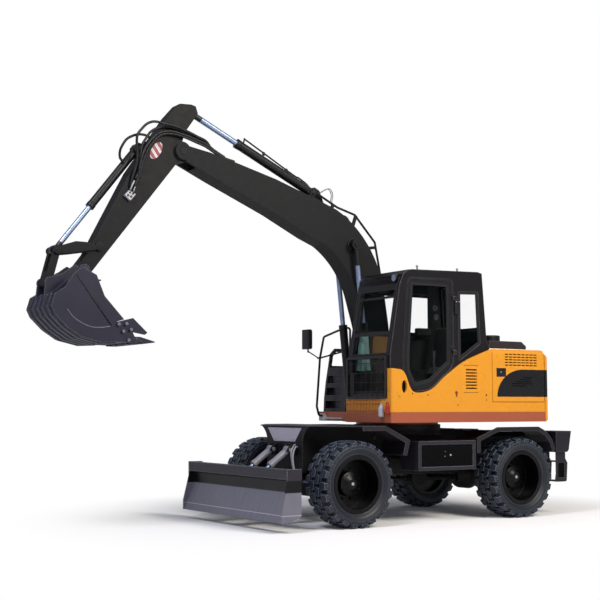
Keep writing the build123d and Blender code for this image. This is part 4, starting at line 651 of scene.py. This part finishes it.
paint_nodes(skirt_paint("yellow_enamel_with_black_sill"), "front_skirt")
frame_edge = sprayed_steel("brown_orange_enamel", "#A85535", 0.36, "house_frame", drift=0.06, coat=0.2)
sprayed_steel("dark_grey_cover_enamel", "#2F2A2D", 0.4, "top_box", "boom_brackets", edge="#9B9698")
sprayed_steel("black_tank_enamel", "#1B1A20", 0.35, "right_tank", edge="#5F6067", coat=0.2)
alloy = sprayed_steel("cast_engine_alloy", "#5E6062", 0.5, "engine_block", drift=0.2)
sprayed_steel("black_tube_enamel", "#121215", 0.35, "handrail", "front_guard", coat=0.2)


# Openings and small fittings of the house side. Behind the oval step and the air slots a black sheet is
# painted shade for the recess; the lock plate is moulded black with a plated keyhole; the slits are short
# dark dashes laid on the sheet, painted shade for the openings.
fitting_black = sprayed_steel("black_moulded_fitting", "#101012", 0.38)
rusty_latch = sprayed_steel("brown_enamelled_latch", "#7A351E", 0.4, drift=0.15)
HOUSE_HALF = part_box("side_panels")[1].y
STEP_X, STEP_Z, LINING_HALF_X, LINING_HALF_Z = 0.824, 1.724, 0.051, 0.092
SLIT_LENGTH, SLIT_HEIGHT, SLIT_PITCH = 0.034, 0.014, 0.042
# air slits in the dark panel: height, front end and rear end of each row
slit_rows = ((1.855, -1.2, -1.371), (1.827, -1.13, -1.371), (1.799, -1.057, -1.371), (1.771, -0.992, -1.371),
    (1.743, -0.992, -1.26))
for hand, side_name in SIDES:
    side_y = hand * HOUSE_HALF
    out = Vector((0, hand, 0))
    # on the left, black sheets at the back of the oval step and the side slot are painted shade
    if hand > 0:
        turns = [t * pi / 16 for t in range(32)]
        step = wall_plate([(STEP_X + LINING_HALF_X * cos(a), STEP_Z + LINING_HALF_Z * sin(a)) for a in turns],
            side_y - 0.031, -0.004)
        placed("step_shade_sheet", black_steel, "upper", "dark_paint", step)
        placed("side_slot_shade_sheet", black_steel, "upper", "dark_paint",
            wall_plate(square(-0.4, 1.68, -0.16, 1.98), side_y - 0.032, -0.004))
    placed("door_lock_plate_" + side_name, fitting_black, "upper", "black_plastic",
        wall_plate(square(-0.716, 1.868, -0.884, 1.982), side_y - 0.002 * hand, 0.004 * hand, 0.0015))
    placed("door_lock_key_" + side_name, plated, "upper", "grey_steel",
        stud(at(-0.795, side_y + 0.0015 * hand, 1.928), out, 0.011, 0.004))
    # black dashes laid on the sheet are painted shade for the air slits
    slits = []
    for z, front, rear in slit_rows:
        for step in range(int((front - rear) / SLIT_PITCH)):
            x = front - step * SLIT_PITCH
            outline = square(x, z, x - SLIT_LENGTH, z + SLIT_HEIGHT)
            slits.append(wall_plate(outline, side_y - 0.001, hand * 0.0016))
    placed("air_slits_" + side_name, black_steel, "upper", "dark_paint", *slits)


# Screws, pads and latch of the left sheet. Round black heads and short rubber pads hold the sheet and
# its slats, and a brown enamelled latch with its tab closes it.
screw_table = ((0.449, 1.619, 0.01), (0.697, 1.636, 0.01), (-0.045, 1.493, 0.009), (-0.534, 1.624, 0.013),
    (-0.534, 1.56, 0.008), (0.9, 1.6, 0.008))
screws = [stud(at(x, HOUSE_HALF + 0.001, z), LEFT, radius, 0.004) for x, z, radius in screw_table]
placed("sheet_screws", fitting_black, "upper", "dark_paint", *screws)
# a dashed line of short rubber pads above and below the slats
pads = []
for z in (2.004, 1.652):
    for step in range(7):
        x = -0.15 - step * 0.036
        pads.append(wall_plate(square(x, z, x - 0.02, z + 0.008), HOUSE_HALF - 0.001, 0.003))
placed("slat_pads", fitting_black, "upper", "dark_paint", *pads)
tab = wall_plate(square(-0.012, 1.64, -0.034, 1.6), HOUSE_HALF - 0.001, 0.0045, 0.0015)
placed("sheet_latch", rusty_latch, "upper", "brown_paint",
    stud(at(-0.022, HOUSE_HALF + 0.001, 1.652), LEFT, 0.024, 0.004), tab)


# Right mirror, intake and front fittings. A silvered glass lies in the mirror's rear face, a black
# sleeve closes the stub on the hood, and a plated canister and a red one hang on the front skirt.
# the mirror glass and the lamp's dish take this finish, with its painted bluish reflection of sky
silvered = chromed_rod("silvered_mirror_glass")
MIRROR_X, MIRROR_Z = 0.69, 2.29
mirror_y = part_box("handrail")[0].y
glass = [at(MIRROR_X - 0.036, mirror_y + y, MIRROR_Z + z) for y, z in square(0.012, 0.015, 0.178, 0.265)]
placed("mirror_glass", silvered, "upper", "rod_chrome", pressed_plate(glass, FRONT * -0.004, 0.0015))
SLEEVE_Z = 2.372
sleeve_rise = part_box("top_box")[1].z - SLEEVE_Z
sleeve = turned([(0, 0), (0, 0.136), (sleeve_rise - 0.012, 0.136), (sleeve_rise, 0.13),
    (sleeve_rise + 0.004, 0.11), (sleeve_rise + 0.004, 0)], at(-1.139, 0.64, SLEEVE_Z), segments=48)
placed("intake_sleeve", fitting_black, "upper", "black_plastic", sleeve)
canister = turned([(0, 0), (0, 0.03), (0.01, 0.036), (0.12, 0.036), (0.135, 0.026), (0.14, 0.014),
    (0.165, 0.014), (0.17, 0)], at(1.072, 1.07, 1.345))
placed("front_canister", plated, "upper", "grey_steel", canister)
red_enamel = sprayed_steel("red_enamel", "#A32420", 0.35, coat=0.3)
extinguisher = turned([(0, 0), (0, 0.018), (0.008, 0.024), (0.105, 0.024), (0.12, 0.014), (0.15, 0.012),
    (0.152, 0)], at(1.061, 1.18, 1.38))
placed("red_canister", red_enamel, "upper", "brown_paint", extinguisher)


# Grille and foot bar of the front edge. Brown-orange wires 6 mm thick stand before the skirt, welded
# to three level ones; a plated round bar and its corner block are bolted on the frame beside them.
skirt_low, skirt_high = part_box("front_skirt")
wire_x, wire_low, wire_high, wire_count = skirt_high.x + 0.009, skirt_low.z + 0.012, 1.598, 24
wire_first, wire_last = skirt_low.y + 0.015, skirt_high.y - 0.22
wire_middle, wire_width = (wire_low + wire_high) / 2, wire_last - wire_first
wires = []
for number in range(wire_count):
    place = Vector((wire_x, wire_first + wire_width * number / (wire_count - 1), wire_middle))
    wires.append(stud(place, UP, 0.003, wire_high - wire_low, 6, 1.0))
for height in (wire_low + 0.004, wire_middle, wire_high - 0.004):
    place = Vector((wire_x - 0.005, (wire_first + wire_last) / 2, height))
    wires.append(stud(place, LEFT, 0.003, wire_width, 6, 1.0))
placed("skirt_grille", frame_edge, "upper", "brown_paint", *wires)
corner = at(0.4605, -1.215, 1.283)
block = [corner + Vector((0, y, z)) for y, z in ((0, 0), (0.2, 0), (0.2, 0.04), (0.14, 0.095), (0, 0.095))]
bar = stud(corner + Vector((0.014, 0.39, 0.024)), LEFT, 0.014, 0.4, 16, 0.9)
placed("foot_bar", plated, "upper", "grey_steel", pressed_plate(block, FRONT * 0.012), bar)


# Cab. Pressed and welded sheet, dark enamel with a satin gloss; the panes are flat tempered glass,
# faintly green, and let nearly all light through.
# the light edge colours of the cab and door are painted highlight along their edges, with some rubbed paint
sprayed_steel("dark_cab_enamel", "#171517", 0.34, "cab_shell", drift=0.08, edge="#837A80", edge_size=0.02,
    coat=0.05, gleam=0.28)
door_paint = sprayed_steel("black_door_enamel", "#0D0C0F", 0.36, "cab_door", edge="#5E5A62", coat=0.15,
    gleam=0.4)


def tinted_glass(name):
    material, tree, place, surface = new_material(name)
    haze = add_node(tree, "TexNoise", {"Vector": place, "Scale": 3, "Detail": 3})
    clear = add_node(tree, "MapRange", {"Value": haze, "To Min": 0.012, "To Max": 0.03})
    join(surface, {"Base Color": "#16302E", "Roughness": 0.04, "Alpha": clear, "IOR": 1.52})
    return material


paint_nodes(tinted_glass("tinted_pane"), "cab_glass", "door_glass")
moulding = sprayed_steel("black_moulded_plastic", "#0D0D10", 0.6, "seat_stand", "steering_column", drift=0.15)
seat_cloth = sprayed_steel("dark_seat_cloth", "#1A1D1F", 0.8, "seat", drift=0.15)


# Seat. Moulded foam under dark woven cloth: a cushion and a back with a headrest, each a closed form
# that is blown up a little, so that its faces crown and its sides pull in between the corners.
CLOTH_STEPS = 20


def padded_piece(name, outline, low_y, high_y, cap):
    """Cushion of this side outline, swollen by cloth under pressure; no point moves more than cap."""
    shape = pressed_plate([at(x, low_y, z) for x, z in outline], Vector((0, high_y - low_y, 0)), 0.022)
    piece = placed(name, seat_cloth, "upper", "seat_cloth", shape)
    bpy.context.view_layer.objects.active = piece
    remesh = piece.modifiers.new("remesh", "REMESH")
    remesh.mode = "VOXEL"
    remesh.voxel_size = 0.008
    bpy.ops.object.modifier_apply(modifier=remesh.name)
    before = [vertex.co.copy() for vertex in piece.data.vertices]
    cloth = piece.modifiers.new("cloth", "CLOTH")
    cloth.settings.use_pressure = True
    cloth.settings.uniform_pressure_force = 4
    cloth.settings.effector_weights.gravity = 0
    for number in range(1, CLOTH_STEPS + 1):
        scene.frame_set(number)
    blown = piece.evaluated_get(bpy.context.evaluated_depsgraph_get()).data
    after = [vertex.co.copy() for vertex in blown.vertices]
    piece.modifiers.remove(cloth)
    scene.frame_set(1)
    for vertex, old, new in zip(piece.data.vertices, before, after):
        move = new - old
        vertex.co = old + move * min(1, cap / max(move.length, 1e-9))
    finer = piece.modifiers.new("finer", "SUBSURF")
    finer.levels = 1
    bpy.ops.object.modifier_apply(modifier=finer.name)
    for face in piece.data.polygons:
        face.use_smooth = True
    return piece


SEAT_LOW_Y, SEAT_HIGH_Y = 0.515, 0.975
cushion = padded_piece("seat_cushion", [(-0.185, 1.728), (0.275, 1.728), (0.285, 1.795), (0.235, 1.822),
    (-0.1, 1.8), (-0.19, 1.795)], SEAT_LOW_Y, SEAT_HIGH_Y, 0.01)
padded_piece("seat_back", [(-0.205, 1.83), (-0.13, 1.835), (-0.185, 2.2), (-0.205, 2.325), (-0.255, 2.54),
    (-0.3, 2.535), (-0.268, 2.32), (-0.225, 2.0)], SEAT_LOW_Y + 0.01, SEAT_HIGH_Y - 0.01, 0.01)
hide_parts("seat")


# Gaskets of the panes. Black extruded rubber lies round the edge of every pane and stands a few
# millimetres proud of the glass; it is made from the pane's own outline.
gasket_rubber = sprayed_steel("black_gasket_rubber", "#08080A", 0.55, drift=0.2)
# the panes' edges are smaller than this, in square metres
PANE_AREA, GASKET_WIDTH, GASKET_HEIGHT = 0.02, 0.034, 0.005


def gasket_frames(pane):
    """Rubber frame round every large flat face of the panes."""
    shape = bmesh.new()
    shape.from_mesh(pane.data)
    bmesh.ops.transform(shape, matrix=pane.matrix_world, verts=shape.verts[:])
    bmesh.ops.remove_doubles(shape, verts=shape.verts[:], dist=1e-5)
    bmesh.ops.dissolve_limit(shape, angle_limit=0.02, verts=shape.verts[:], edges=shape.edges[:])
    small = [face for face in shape.faces if face.calc_area() < PANE_AREA]
    bmesh.ops.delete(shape, geom=small, context="FACES")
    frames = bmesh.ops.inset_individual(shape, faces=shape.faces[:], thickness=GASKET_WIDTH,
        use_even_offset=True)
    ring = set(frames["faces"])
    bmesh.ops.delete(shape, geom=[face for face in shape.faces if face not in ring], context="FACES")
    moved = extruded(shape, shape.faces[:])
    shape.normal_update()
    for corner in moved:
        faces = [face for face in corner.link_faces if face.calc_area() > 0]
        fronts = [face for face in faces if all(v in moved for v in face.verts)]
        if fronts:
            corner.co += sum((face.normal for face in fronts), Vector()).normalized() * GASKET_HEIGHT
    face_outwards(shape)
    return shape


for pane_name, body in (("cab_glass", "upper"), ("door_glass", "cab_door")):
    placed(pane_name.replace("glass", "gaskets"), gasket_rubber, body, "black_plastic",
        gasket_frames(nodes[pane_name]))


# Cab trim. Black linings cover the right wall, the rear wall and the roof inside; a dark band closes
# the windshield's top, two bars cross it, and vents, a switch box, a pedestal and a tan board stand inside.
def strip(points, low_y, high_y, thickness):
    """Bent sheet: a line of (x, z) drawn across between two widths, thickened along its normal."""
    sheet = bmesh.new()
    rows = [[sheet.verts.new(at(x, y, z)) for y in (low_y, high_y)] for x, z in points]
    for near, far in zip(rows, rows[1:]):
        sheet.faces.new((near[0], near[1], far[1], far[0]))
    face_outwards(sheet)
    bmesh.ops.solidify(sheet, geom=sheet.faces[:], thickness=thickness)
    face_outwards(sheet)
    return sheet


lining = sprayed_steel("black_trim_board", "#0A0A0C", 0.7, drift=0.2)
right_lining = wall_plate([(-0.56, 1.465), (0.93, 1.465), (0.93, 2.11), (0.862, 2.425), (-0.27, 2.425),
    (-0.27, 2.6), (-0.27, 3.12), (-0.5, 3.12), (-0.54, 2.5), (-0.56, 2.425)], 0.347, 0.006, 0.002)
rear_lining = strip([(-0.566, 1.47), (-0.566, 2.26), (-0.528, 2.47)], 0.36, 1.12, 0.005)
roof_lining = strip([(-0.45, 3.18), (0.72, 3.145)], 0.36, 1.12, 0.006)
placed("cab_linings", lining, "upper", "black_plastic", right_lining, rear_lining, roof_lining)
vent = (0, 0), (0, 0.042), (0.01, 0.042), (0.01, 0.034), (0.004, 0.03), (0.004, 0)
vents = [turned(vent, at(x, 0.353, z), LEFT) for x, z in ((-0.397, 2.82), (-0.413, 2.697))]
placed("vent_rings", alloy, "upper", "grey_steel", *vents)


def shield_x(z):
    """Place of the windshield's outer face at this height."""
    return 1.02 - (z - 2.11) * 0.1795


header = strip([(0.874, 2.952), (0.862, 3.03), (0.826, 3.107)], 0.33, 1.15, 0.005)
placed("windshield_header", door_paint, "upper", "dark_paint", header)
bars = []
for low, high in ((2.845, 2.875), (2.375, 2.42)):
    bars.append(strip([(shield_x(z) + 0.006, z) for z in (low, high)], 0.352, 1.133, 0.01))
placed("windshield_bars", fitting_black, "upper", "black_plastic", *bars)
switch_box = wall_plate(square(-0.24, 2.42, -0.01, 2.53), 0.38, 0.09, 0.02)
pedestal = bmesh.new()
foot = [pedestal.verts.new(at(x, y, 1.93)) for x, y in ((0.95, 0.36), (0.95, 0.5), (0.8, 0.5), (0.8, 0.36))]
top = [pedestal.verts.new(at(x, y, 2.43)) for x, y in ((0.9, 0.37), (0.9, 0.46), (0.81, 0.46), (0.81, 0.37))]
pedestal.faces.new(foot)
pedestal.faces.new(top[::-1])
for step in range(4):
    pedestal.faces.new((foot[step], top[step], top[(step + 1) % 4], foot[(step + 1) % 4]))
face_outwards(pedestal)
rounded(pedestal, pedestal.edges[:], 0.02)
placed("switch_box", moulding, "upper", "black_plastic", switch_box)
grey_green = sprayed_steel("grey_green_moulding", "#6C9489", 0.5)
placed("monitor_pedestal", grey_green, "upper", "black_plastic", pedestal)
tan_trim = sprayed_steel("tan_trim_board", "#5A4018", 0.7)
tan = wall_plate([(0.25, 2.1), (0.7, 2.1), (0.66, 2.4), (0.25, 2.4)], 0.356, 0.006, 0.002)
placed("tan_trim", tan_trim, "upper", "black_plastic", tan)


# Fittings outside the cab. A black box with two plated screws sits on the door pillar, a lamp with
# a bright dish on the front pillar, and the wiper's arm and blade lie on the windshield.
BOX_Y = 1.175
pillar_box = wall_plate(square(-0.105, 2.665, -0.02, 2.865), BOX_Y, 0.05, 0.012)
placed("pillar_box", fitting_black, "upper", "black_plastic", pillar_box)
screws = [stud(at(x, BOX_Y + 0.052, 2.83), LEFT, 0.01, 0.006, 6) for x in (-0.085, -0.04)]
placed("pillar_box_screws", plated, "upper", "grey_steel", *screws)
lamp_shell = turned([(-0.055, 0), (-0.055, 0.02), (-0.045, 0.04), (-0.01, 0.052), (0, 0.054), (0.006, 0.05),
    (0, 0.046), (-0.004, 0.046), (-0.004, 0)], at(0.885, 1.1, 3.1), FRONT)
lamp_lens = turned([(-0.004, 0), (-0.003, 0.045), (0.001, 0.044), (0.004, 0.03), (0.005, 0)],
    at(0.886, 1.1, 3.1), FRONT)
placed("pillar_lamp", fitting_black, "upper", "black_plastic", lamp_shell)
placed("pillar_lamp_lens", silvered, "upper", "rod_chrome", lamp_lens)
wiper_arm = strip([(shield_x(z) + 0.022, z) for z in (2.87, 2.45)], 0.442, 0.458, 0.006)
wiper_blade = strip([(shield_x(z) + 0.012, z) for z in (2.72, 2.2)], 0.446, 0.456, 0.012)
hub = stud(at(shield_x(2.87) + 0.012, 0.45, 2.87), (1, 0, 0.18), 0.024, 0.022, 20)
placed("wiper", fitting_black, "upper", "black_plastic", wiper_arm, wiper_blade, hub)


# Roof fittings. Two short turned posts, moulded black with a plated cap, are screwed on the roof's
# left edge.
roof_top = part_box("cab_shell")[1].z
post = (-0.045, 0), (-0.045, 0.03), (-0.03, 0.03), (-0.026, 0.01), (0.05, 0.008), (0.052, 0)
cap = (0.045, 0), (0.045, 0.014), (0.06, 0.018), (0.072, 0.012), (0.078, 0)
feet = [at(x, 0.9, roof_top) for x in (0.345, -0.336)]
placed("roof_posts", fitting_black, "upper", "black_plastic", *[turned(post, foot, UP, 20) for foot in feet])
placed("roof_caps", plated, "upper", "grey_steel", *[turned(cap, foot, UP, 20) for foot in feet])


# Boom and arm. Box sections welded from plate and sprayed near black, the boom matter than the arm
# and its links. The barrels are black enamel, and the bucket's paint is scuffed to a bluish grey.
sprayed_steel("matt_boom_enamel", "#1C1C1D", 0.62, "boom", edge="#4E4E52", gleam=0.22)
sprayed_steel("satin_arm_enamel", "#161617", 0.55, "arm", "link", "rocker", edge="#4E4E52", gleam=0.22)
barrel_paint = sprayed_steel("black_barrel_enamel", "#0A0A0C", 0.4, "boom_barrels", "arm_barrel",
    "bucket_barrel", edge_size=0.02, gleam=0.4)
sprayed_steel("scuffed_bucket_enamel", "#222233", 0.45, "bucket", drift=0.3, edge="#8B8B98", edge_size=0.014,
    gleam=0.35)


# Hoses of the boom. Reinforced black rubber, 32 mm thick, in runs that leave clamps on the
# boom's back, bow over the arm's pivot and end in a coupling block on the arm.
hose_rubber = sprayed_steel("black_hose_rubber", "#0C0C0F", 0.45, drift=0.25)


def cord(name, finish, body, line, radius, sides=12, far_body=None):
    """Hose or wire along this line, as long as the line; one over a pivot is taken off its body and left where
    it is drawn.
    """
    made = placed(name, finish, body, "black_plastic", tube(line, radius, sides))
    if far_body:
        made.parent = None
    if far_body:
        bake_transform(made)


HOSE_RADIUS = 0.016
# how far the middle of the run bows LEFT, then its points along the boom and in height
pivot_hoses = (
    ("hose_inner", 0.006, ((2.93, 4.64), (3.081, 4.766), (3.21, 4.795), (3.356, 4.838), (3.454, 4.87),
        (3.55, 4.883), (3.645, 4.88), (3.73, 4.856), (3.824, 4.796), (3.879, 4.72), (3.934, 4.627),
        (3.951, 4.539), (3.968, 4.408), (3.985, 4.278), (4.021, 4.189))),
    ("hose_middle", 0.04, ((2.799, 4.6), (2.943, 4.665), (3.071, 4.732), (3.209, 4.765), (3.307, 4.791),
        (3.424, 4.812), (3.521, 4.826), (3.616, 4.822), (3.711, 4.793), (3.786, 4.74), (3.86, 4.653),
        (3.914, 4.561), (3.95, 4.453), (3.976, 4.322), (3.984, 4.21), (4.029, 4.103))),
    ("hose_lower", 0.022, ((2.654, 4.56), (2.799, 4.588), (2.943, 4.64), (3.071, 4.7), (3.209, 4.738),
        (3.307, 4.765), (3.424, 4.792), (3.521, 4.8), (3.616, 4.795), (3.7, 4.765), (3.765, 4.712),
        (3.832, 4.63), (3.882, 4.54), (3.92, 4.44), (3.95, 4.32), (3.965, 4.21))),
    ("hose_outer", 0.076, ((2.99, 4.69), (3.073, 4.77), (3.21, 4.812), (3.346, 4.853), (3.502, 4.892),
        (3.693, 4.906), (3.769, 4.912), (3.844, 4.902), (3.918, 4.862), (3.982, 4.793), (4.028, 4.727),
        (4.036, 4.657), (4.026, 4.573), (4.015, 4.489), (4.023, 4.36), (4.058, 4.228), (4.085, 4.09))),
)
for name, bow, route in pivot_hoses:
    last = len(route) - 1
    line = smooth_line([at(x, 0.122 + bow * sin(pi * i / last), z) for i, (x, z) in enumerate(route)])
    cord(name, hose_rubber, "boom", line, HOSE_RADIUS, far_body="arm")
route = ((3.8, 0.112, 4.7), (3.86, 0.125, 4.735), (3.926, 0.128, 4.746), (3.991, 0.128, 4.742),
    (4.064, 0.128, 4.715), (4.137, 0.122, 4.668), (4.182, 0.11, 4.6), (4.208, 0.09, 4.526), (4.2, 0.068, 4.45),
    (4.16, 0.055, 4.405))
jumper = smooth_line([at(*point) for point in route])
cord("hose_bucket_cylinder", hose_rubber, "arm", jumper, HOSE_RADIUS, far_body="bucket_barrel")


# Pipe block of the arm. A plated block, bolted on the arm's left side, takes the hoses in black ports,
# and two thin plated pipes run into it from above.
block_sides = (4.164, 3.982), (4.11, 4.047), (4.018, 4.005), (4.09, 3.922)
placed("coupling_block", plated, "arm", "grey_steel", wall_plate(block_sides, 0.106, 0.042, 0.004))
port_places = (4.058, 4.01), (4.098, 4.02), (4.083, 3.972), (4.122, 3.985)
ports = [stud(at(x, 0.15, z), LEFT, 0.014, 0.01, 6, 0.95) for x, z in port_places]
placed("coupling_ports", fitting_black, "arm", "black_plastic", *ports)
runs = ((0.125, ((3.975, 4.22), (4.01, 4.14), (4.046, 4.033))),
    (0.14, ((4.039, 4.17), (4.064, 4.12), (4.092, 4.054))))
pipes = [tube([at(x, y, z) for x, z in run], 0.009) for y, run in runs]
placed("arm_pipes", plated, "arm", "grey_steel", *pipes)


# Pipe of the arm cylinder. Black steel pipe on two clamps along the barrel's back, which carries the
# oil to its rod end.
feed = smooth_line([at(x, 0, z) for x, z in ((2.452, 4.848), (2.432, 4.892), (2.38, 4.872), (1.707, 4.52),
    (1.611, 4.484), (1.48, 4.41), (1.42, 4.35))])
clamp = (-0.014, -0.036), (0.014, -0.023), (0.01, 0.018), (-0.018, 0.006)
clamps = []
for x, z in ((2.15, 4.752), (1.8, 4.57)):
    clamps.append(wall_plate([(x + ahead, z + rise) for ahead, rise in clamp], -0.014, 0.028, 0.002))
placed("arm_cylinder_pipe", barrel_paint, "arm_barrel", "boom_paint", tube(feed, 0.011), *clamps)


# Hazard mark. A red and white striped oval painted on both sides of the arm, its bands running
# across it; the film is drawn 1.2 mm thick.
OVAL_X, OVAL_Z, OVAL_Y = 3.739, 4.577, 0.1055


def striped_film(name):
    material, tree, place, surface = new_material(name)
    # a red and a white band take up 78 mm across this direction, with a red one on the oval's middle
    across, pair_width, middle_share = Vector((-0.809, 0.0, 0.588)), 0.078, 0.275
    along = add_node(tree, "VectorMath", {0: place, 1: across}, operation="DOT_PRODUCT")
    turns = add_node(tree, "Math", {0: along, 1: 1 / pair_width}, operation="MULTIPLY")
    phase = middle_share - across.dot(at(OVAL_X, 0, OVAL_Z)) / pair_width
    shifted = add_node(tree, "Math", {0: turns, 1: phase})
    part = add_node(tree, "Math", {0: shifted}, operation="FRACT")
    band = add_node(tree, "Math", {0: part, 1: 0.55}, operation="LESS_THAN")
    grime = add_node(tree, "TexNoise", {"Vector": place, "Scale": 20, "Detail": 4})
    white = add_node(tree, "Mix", {0: grime, 6: "#D8D5DC", 7: "#BEB9C4"})
    colour = add_node(tree, "Mix", {0: band, 6: white, 7: "#8C0012"})
    matt = add_node(tree, "MapRange", {"Value": grime, "To Min": 0.3, "To Max": 0.5})
    join(surface, {"Base Color": colour, "Roughness": matt})
    return material


hazard = striped_film("red_white_striped_film")
long_axis, short_axis = Vector((-0.514, 0, 0.858)) * 0.121, Vector((0.858, 0, 0.514)) * 0.063
turns = [pi * k / 24 for k in range(48)]
for hand, side_name in SIDES:
    edge = [at(OVAL_X, hand * OVAL_Y, OVAL_Z) + long_axis * sin(a) + short_axis * cos(a) for a in turns]
    placed("hazard_oval_" + side_name, hazard, "arm", "brown_paint", pressed_plate(edge, LEFT * hand * 0.0012))


# Bucket dressing. Light weld beads follow the side sheets' lower edge, a dark seam crosses each sheet,
# and six-sided bolts hold the side cutters.
seam_steel = sprayed_steel("light_weld_bead", "#6E6D79", 0.4, drift=0.2)
dark_seam = sprayed_steel("dark_seam_steel", "#0D0D11", 0.5, drift=0.2)
beads, seams, bolts = [], [], []
for hand, _ in SIDES:
    bead = smooth_line([at(x, hand * 0.4, z) for x, z in ((4.965, 2.569), (4.889, 2.482), (4.78, 2.415),
        (4.672, 2.378), (4.54, 2.376), (4.43, 2.395))])
    beads.append(tube(bead, 0.006, 8))
    seams.append(tube([at(4.854, hand * 0.4, 2.96), at(4.425, hand * 0.4, 2.398)], 0.009, 8))
    for x, z in ((4.34, 2.42), (4.245, 2.428), (4.282, 2.339), (4.187, 2.363), (4.214, 2.239)):
        bolts.append(stud(at(x, hand * 0.424, z), (0, hand, 0), 0.022, 0.014, 6, 0.9))
placed("bucket_beads", seam_steel, "bucket", "grey_steel", *beads)
placed("bucket_seams", dark_seam, "bucket", "dark_paint", *seams)
placed("cutter_bolts", seam_steel, "bucket", "grey_steel", *bolts)


# Wire loop. Thin grey wires leave the arm cylinder's foot, bow over the boom's back and go under a
# clamp again.
WIRE_RADIUS = 0.006
wire_sheath = sprayed_steel("grey_wire_sheath", "#8B7F86", 0.5, drift=0.2)
for number, y in enumerate((0.018, -0.018)):
    loop = smooth_line([at(x, y, z) for x, z in ((1.3, 4.29), (1.205, 4.353), (1.122, 4.382), (1.072, 4.311),
        (1.089, 4.198))])
    cord("wire_loop_" + str(number), wire_sheath, "boom", loop, WIRE_RADIUS, 8)
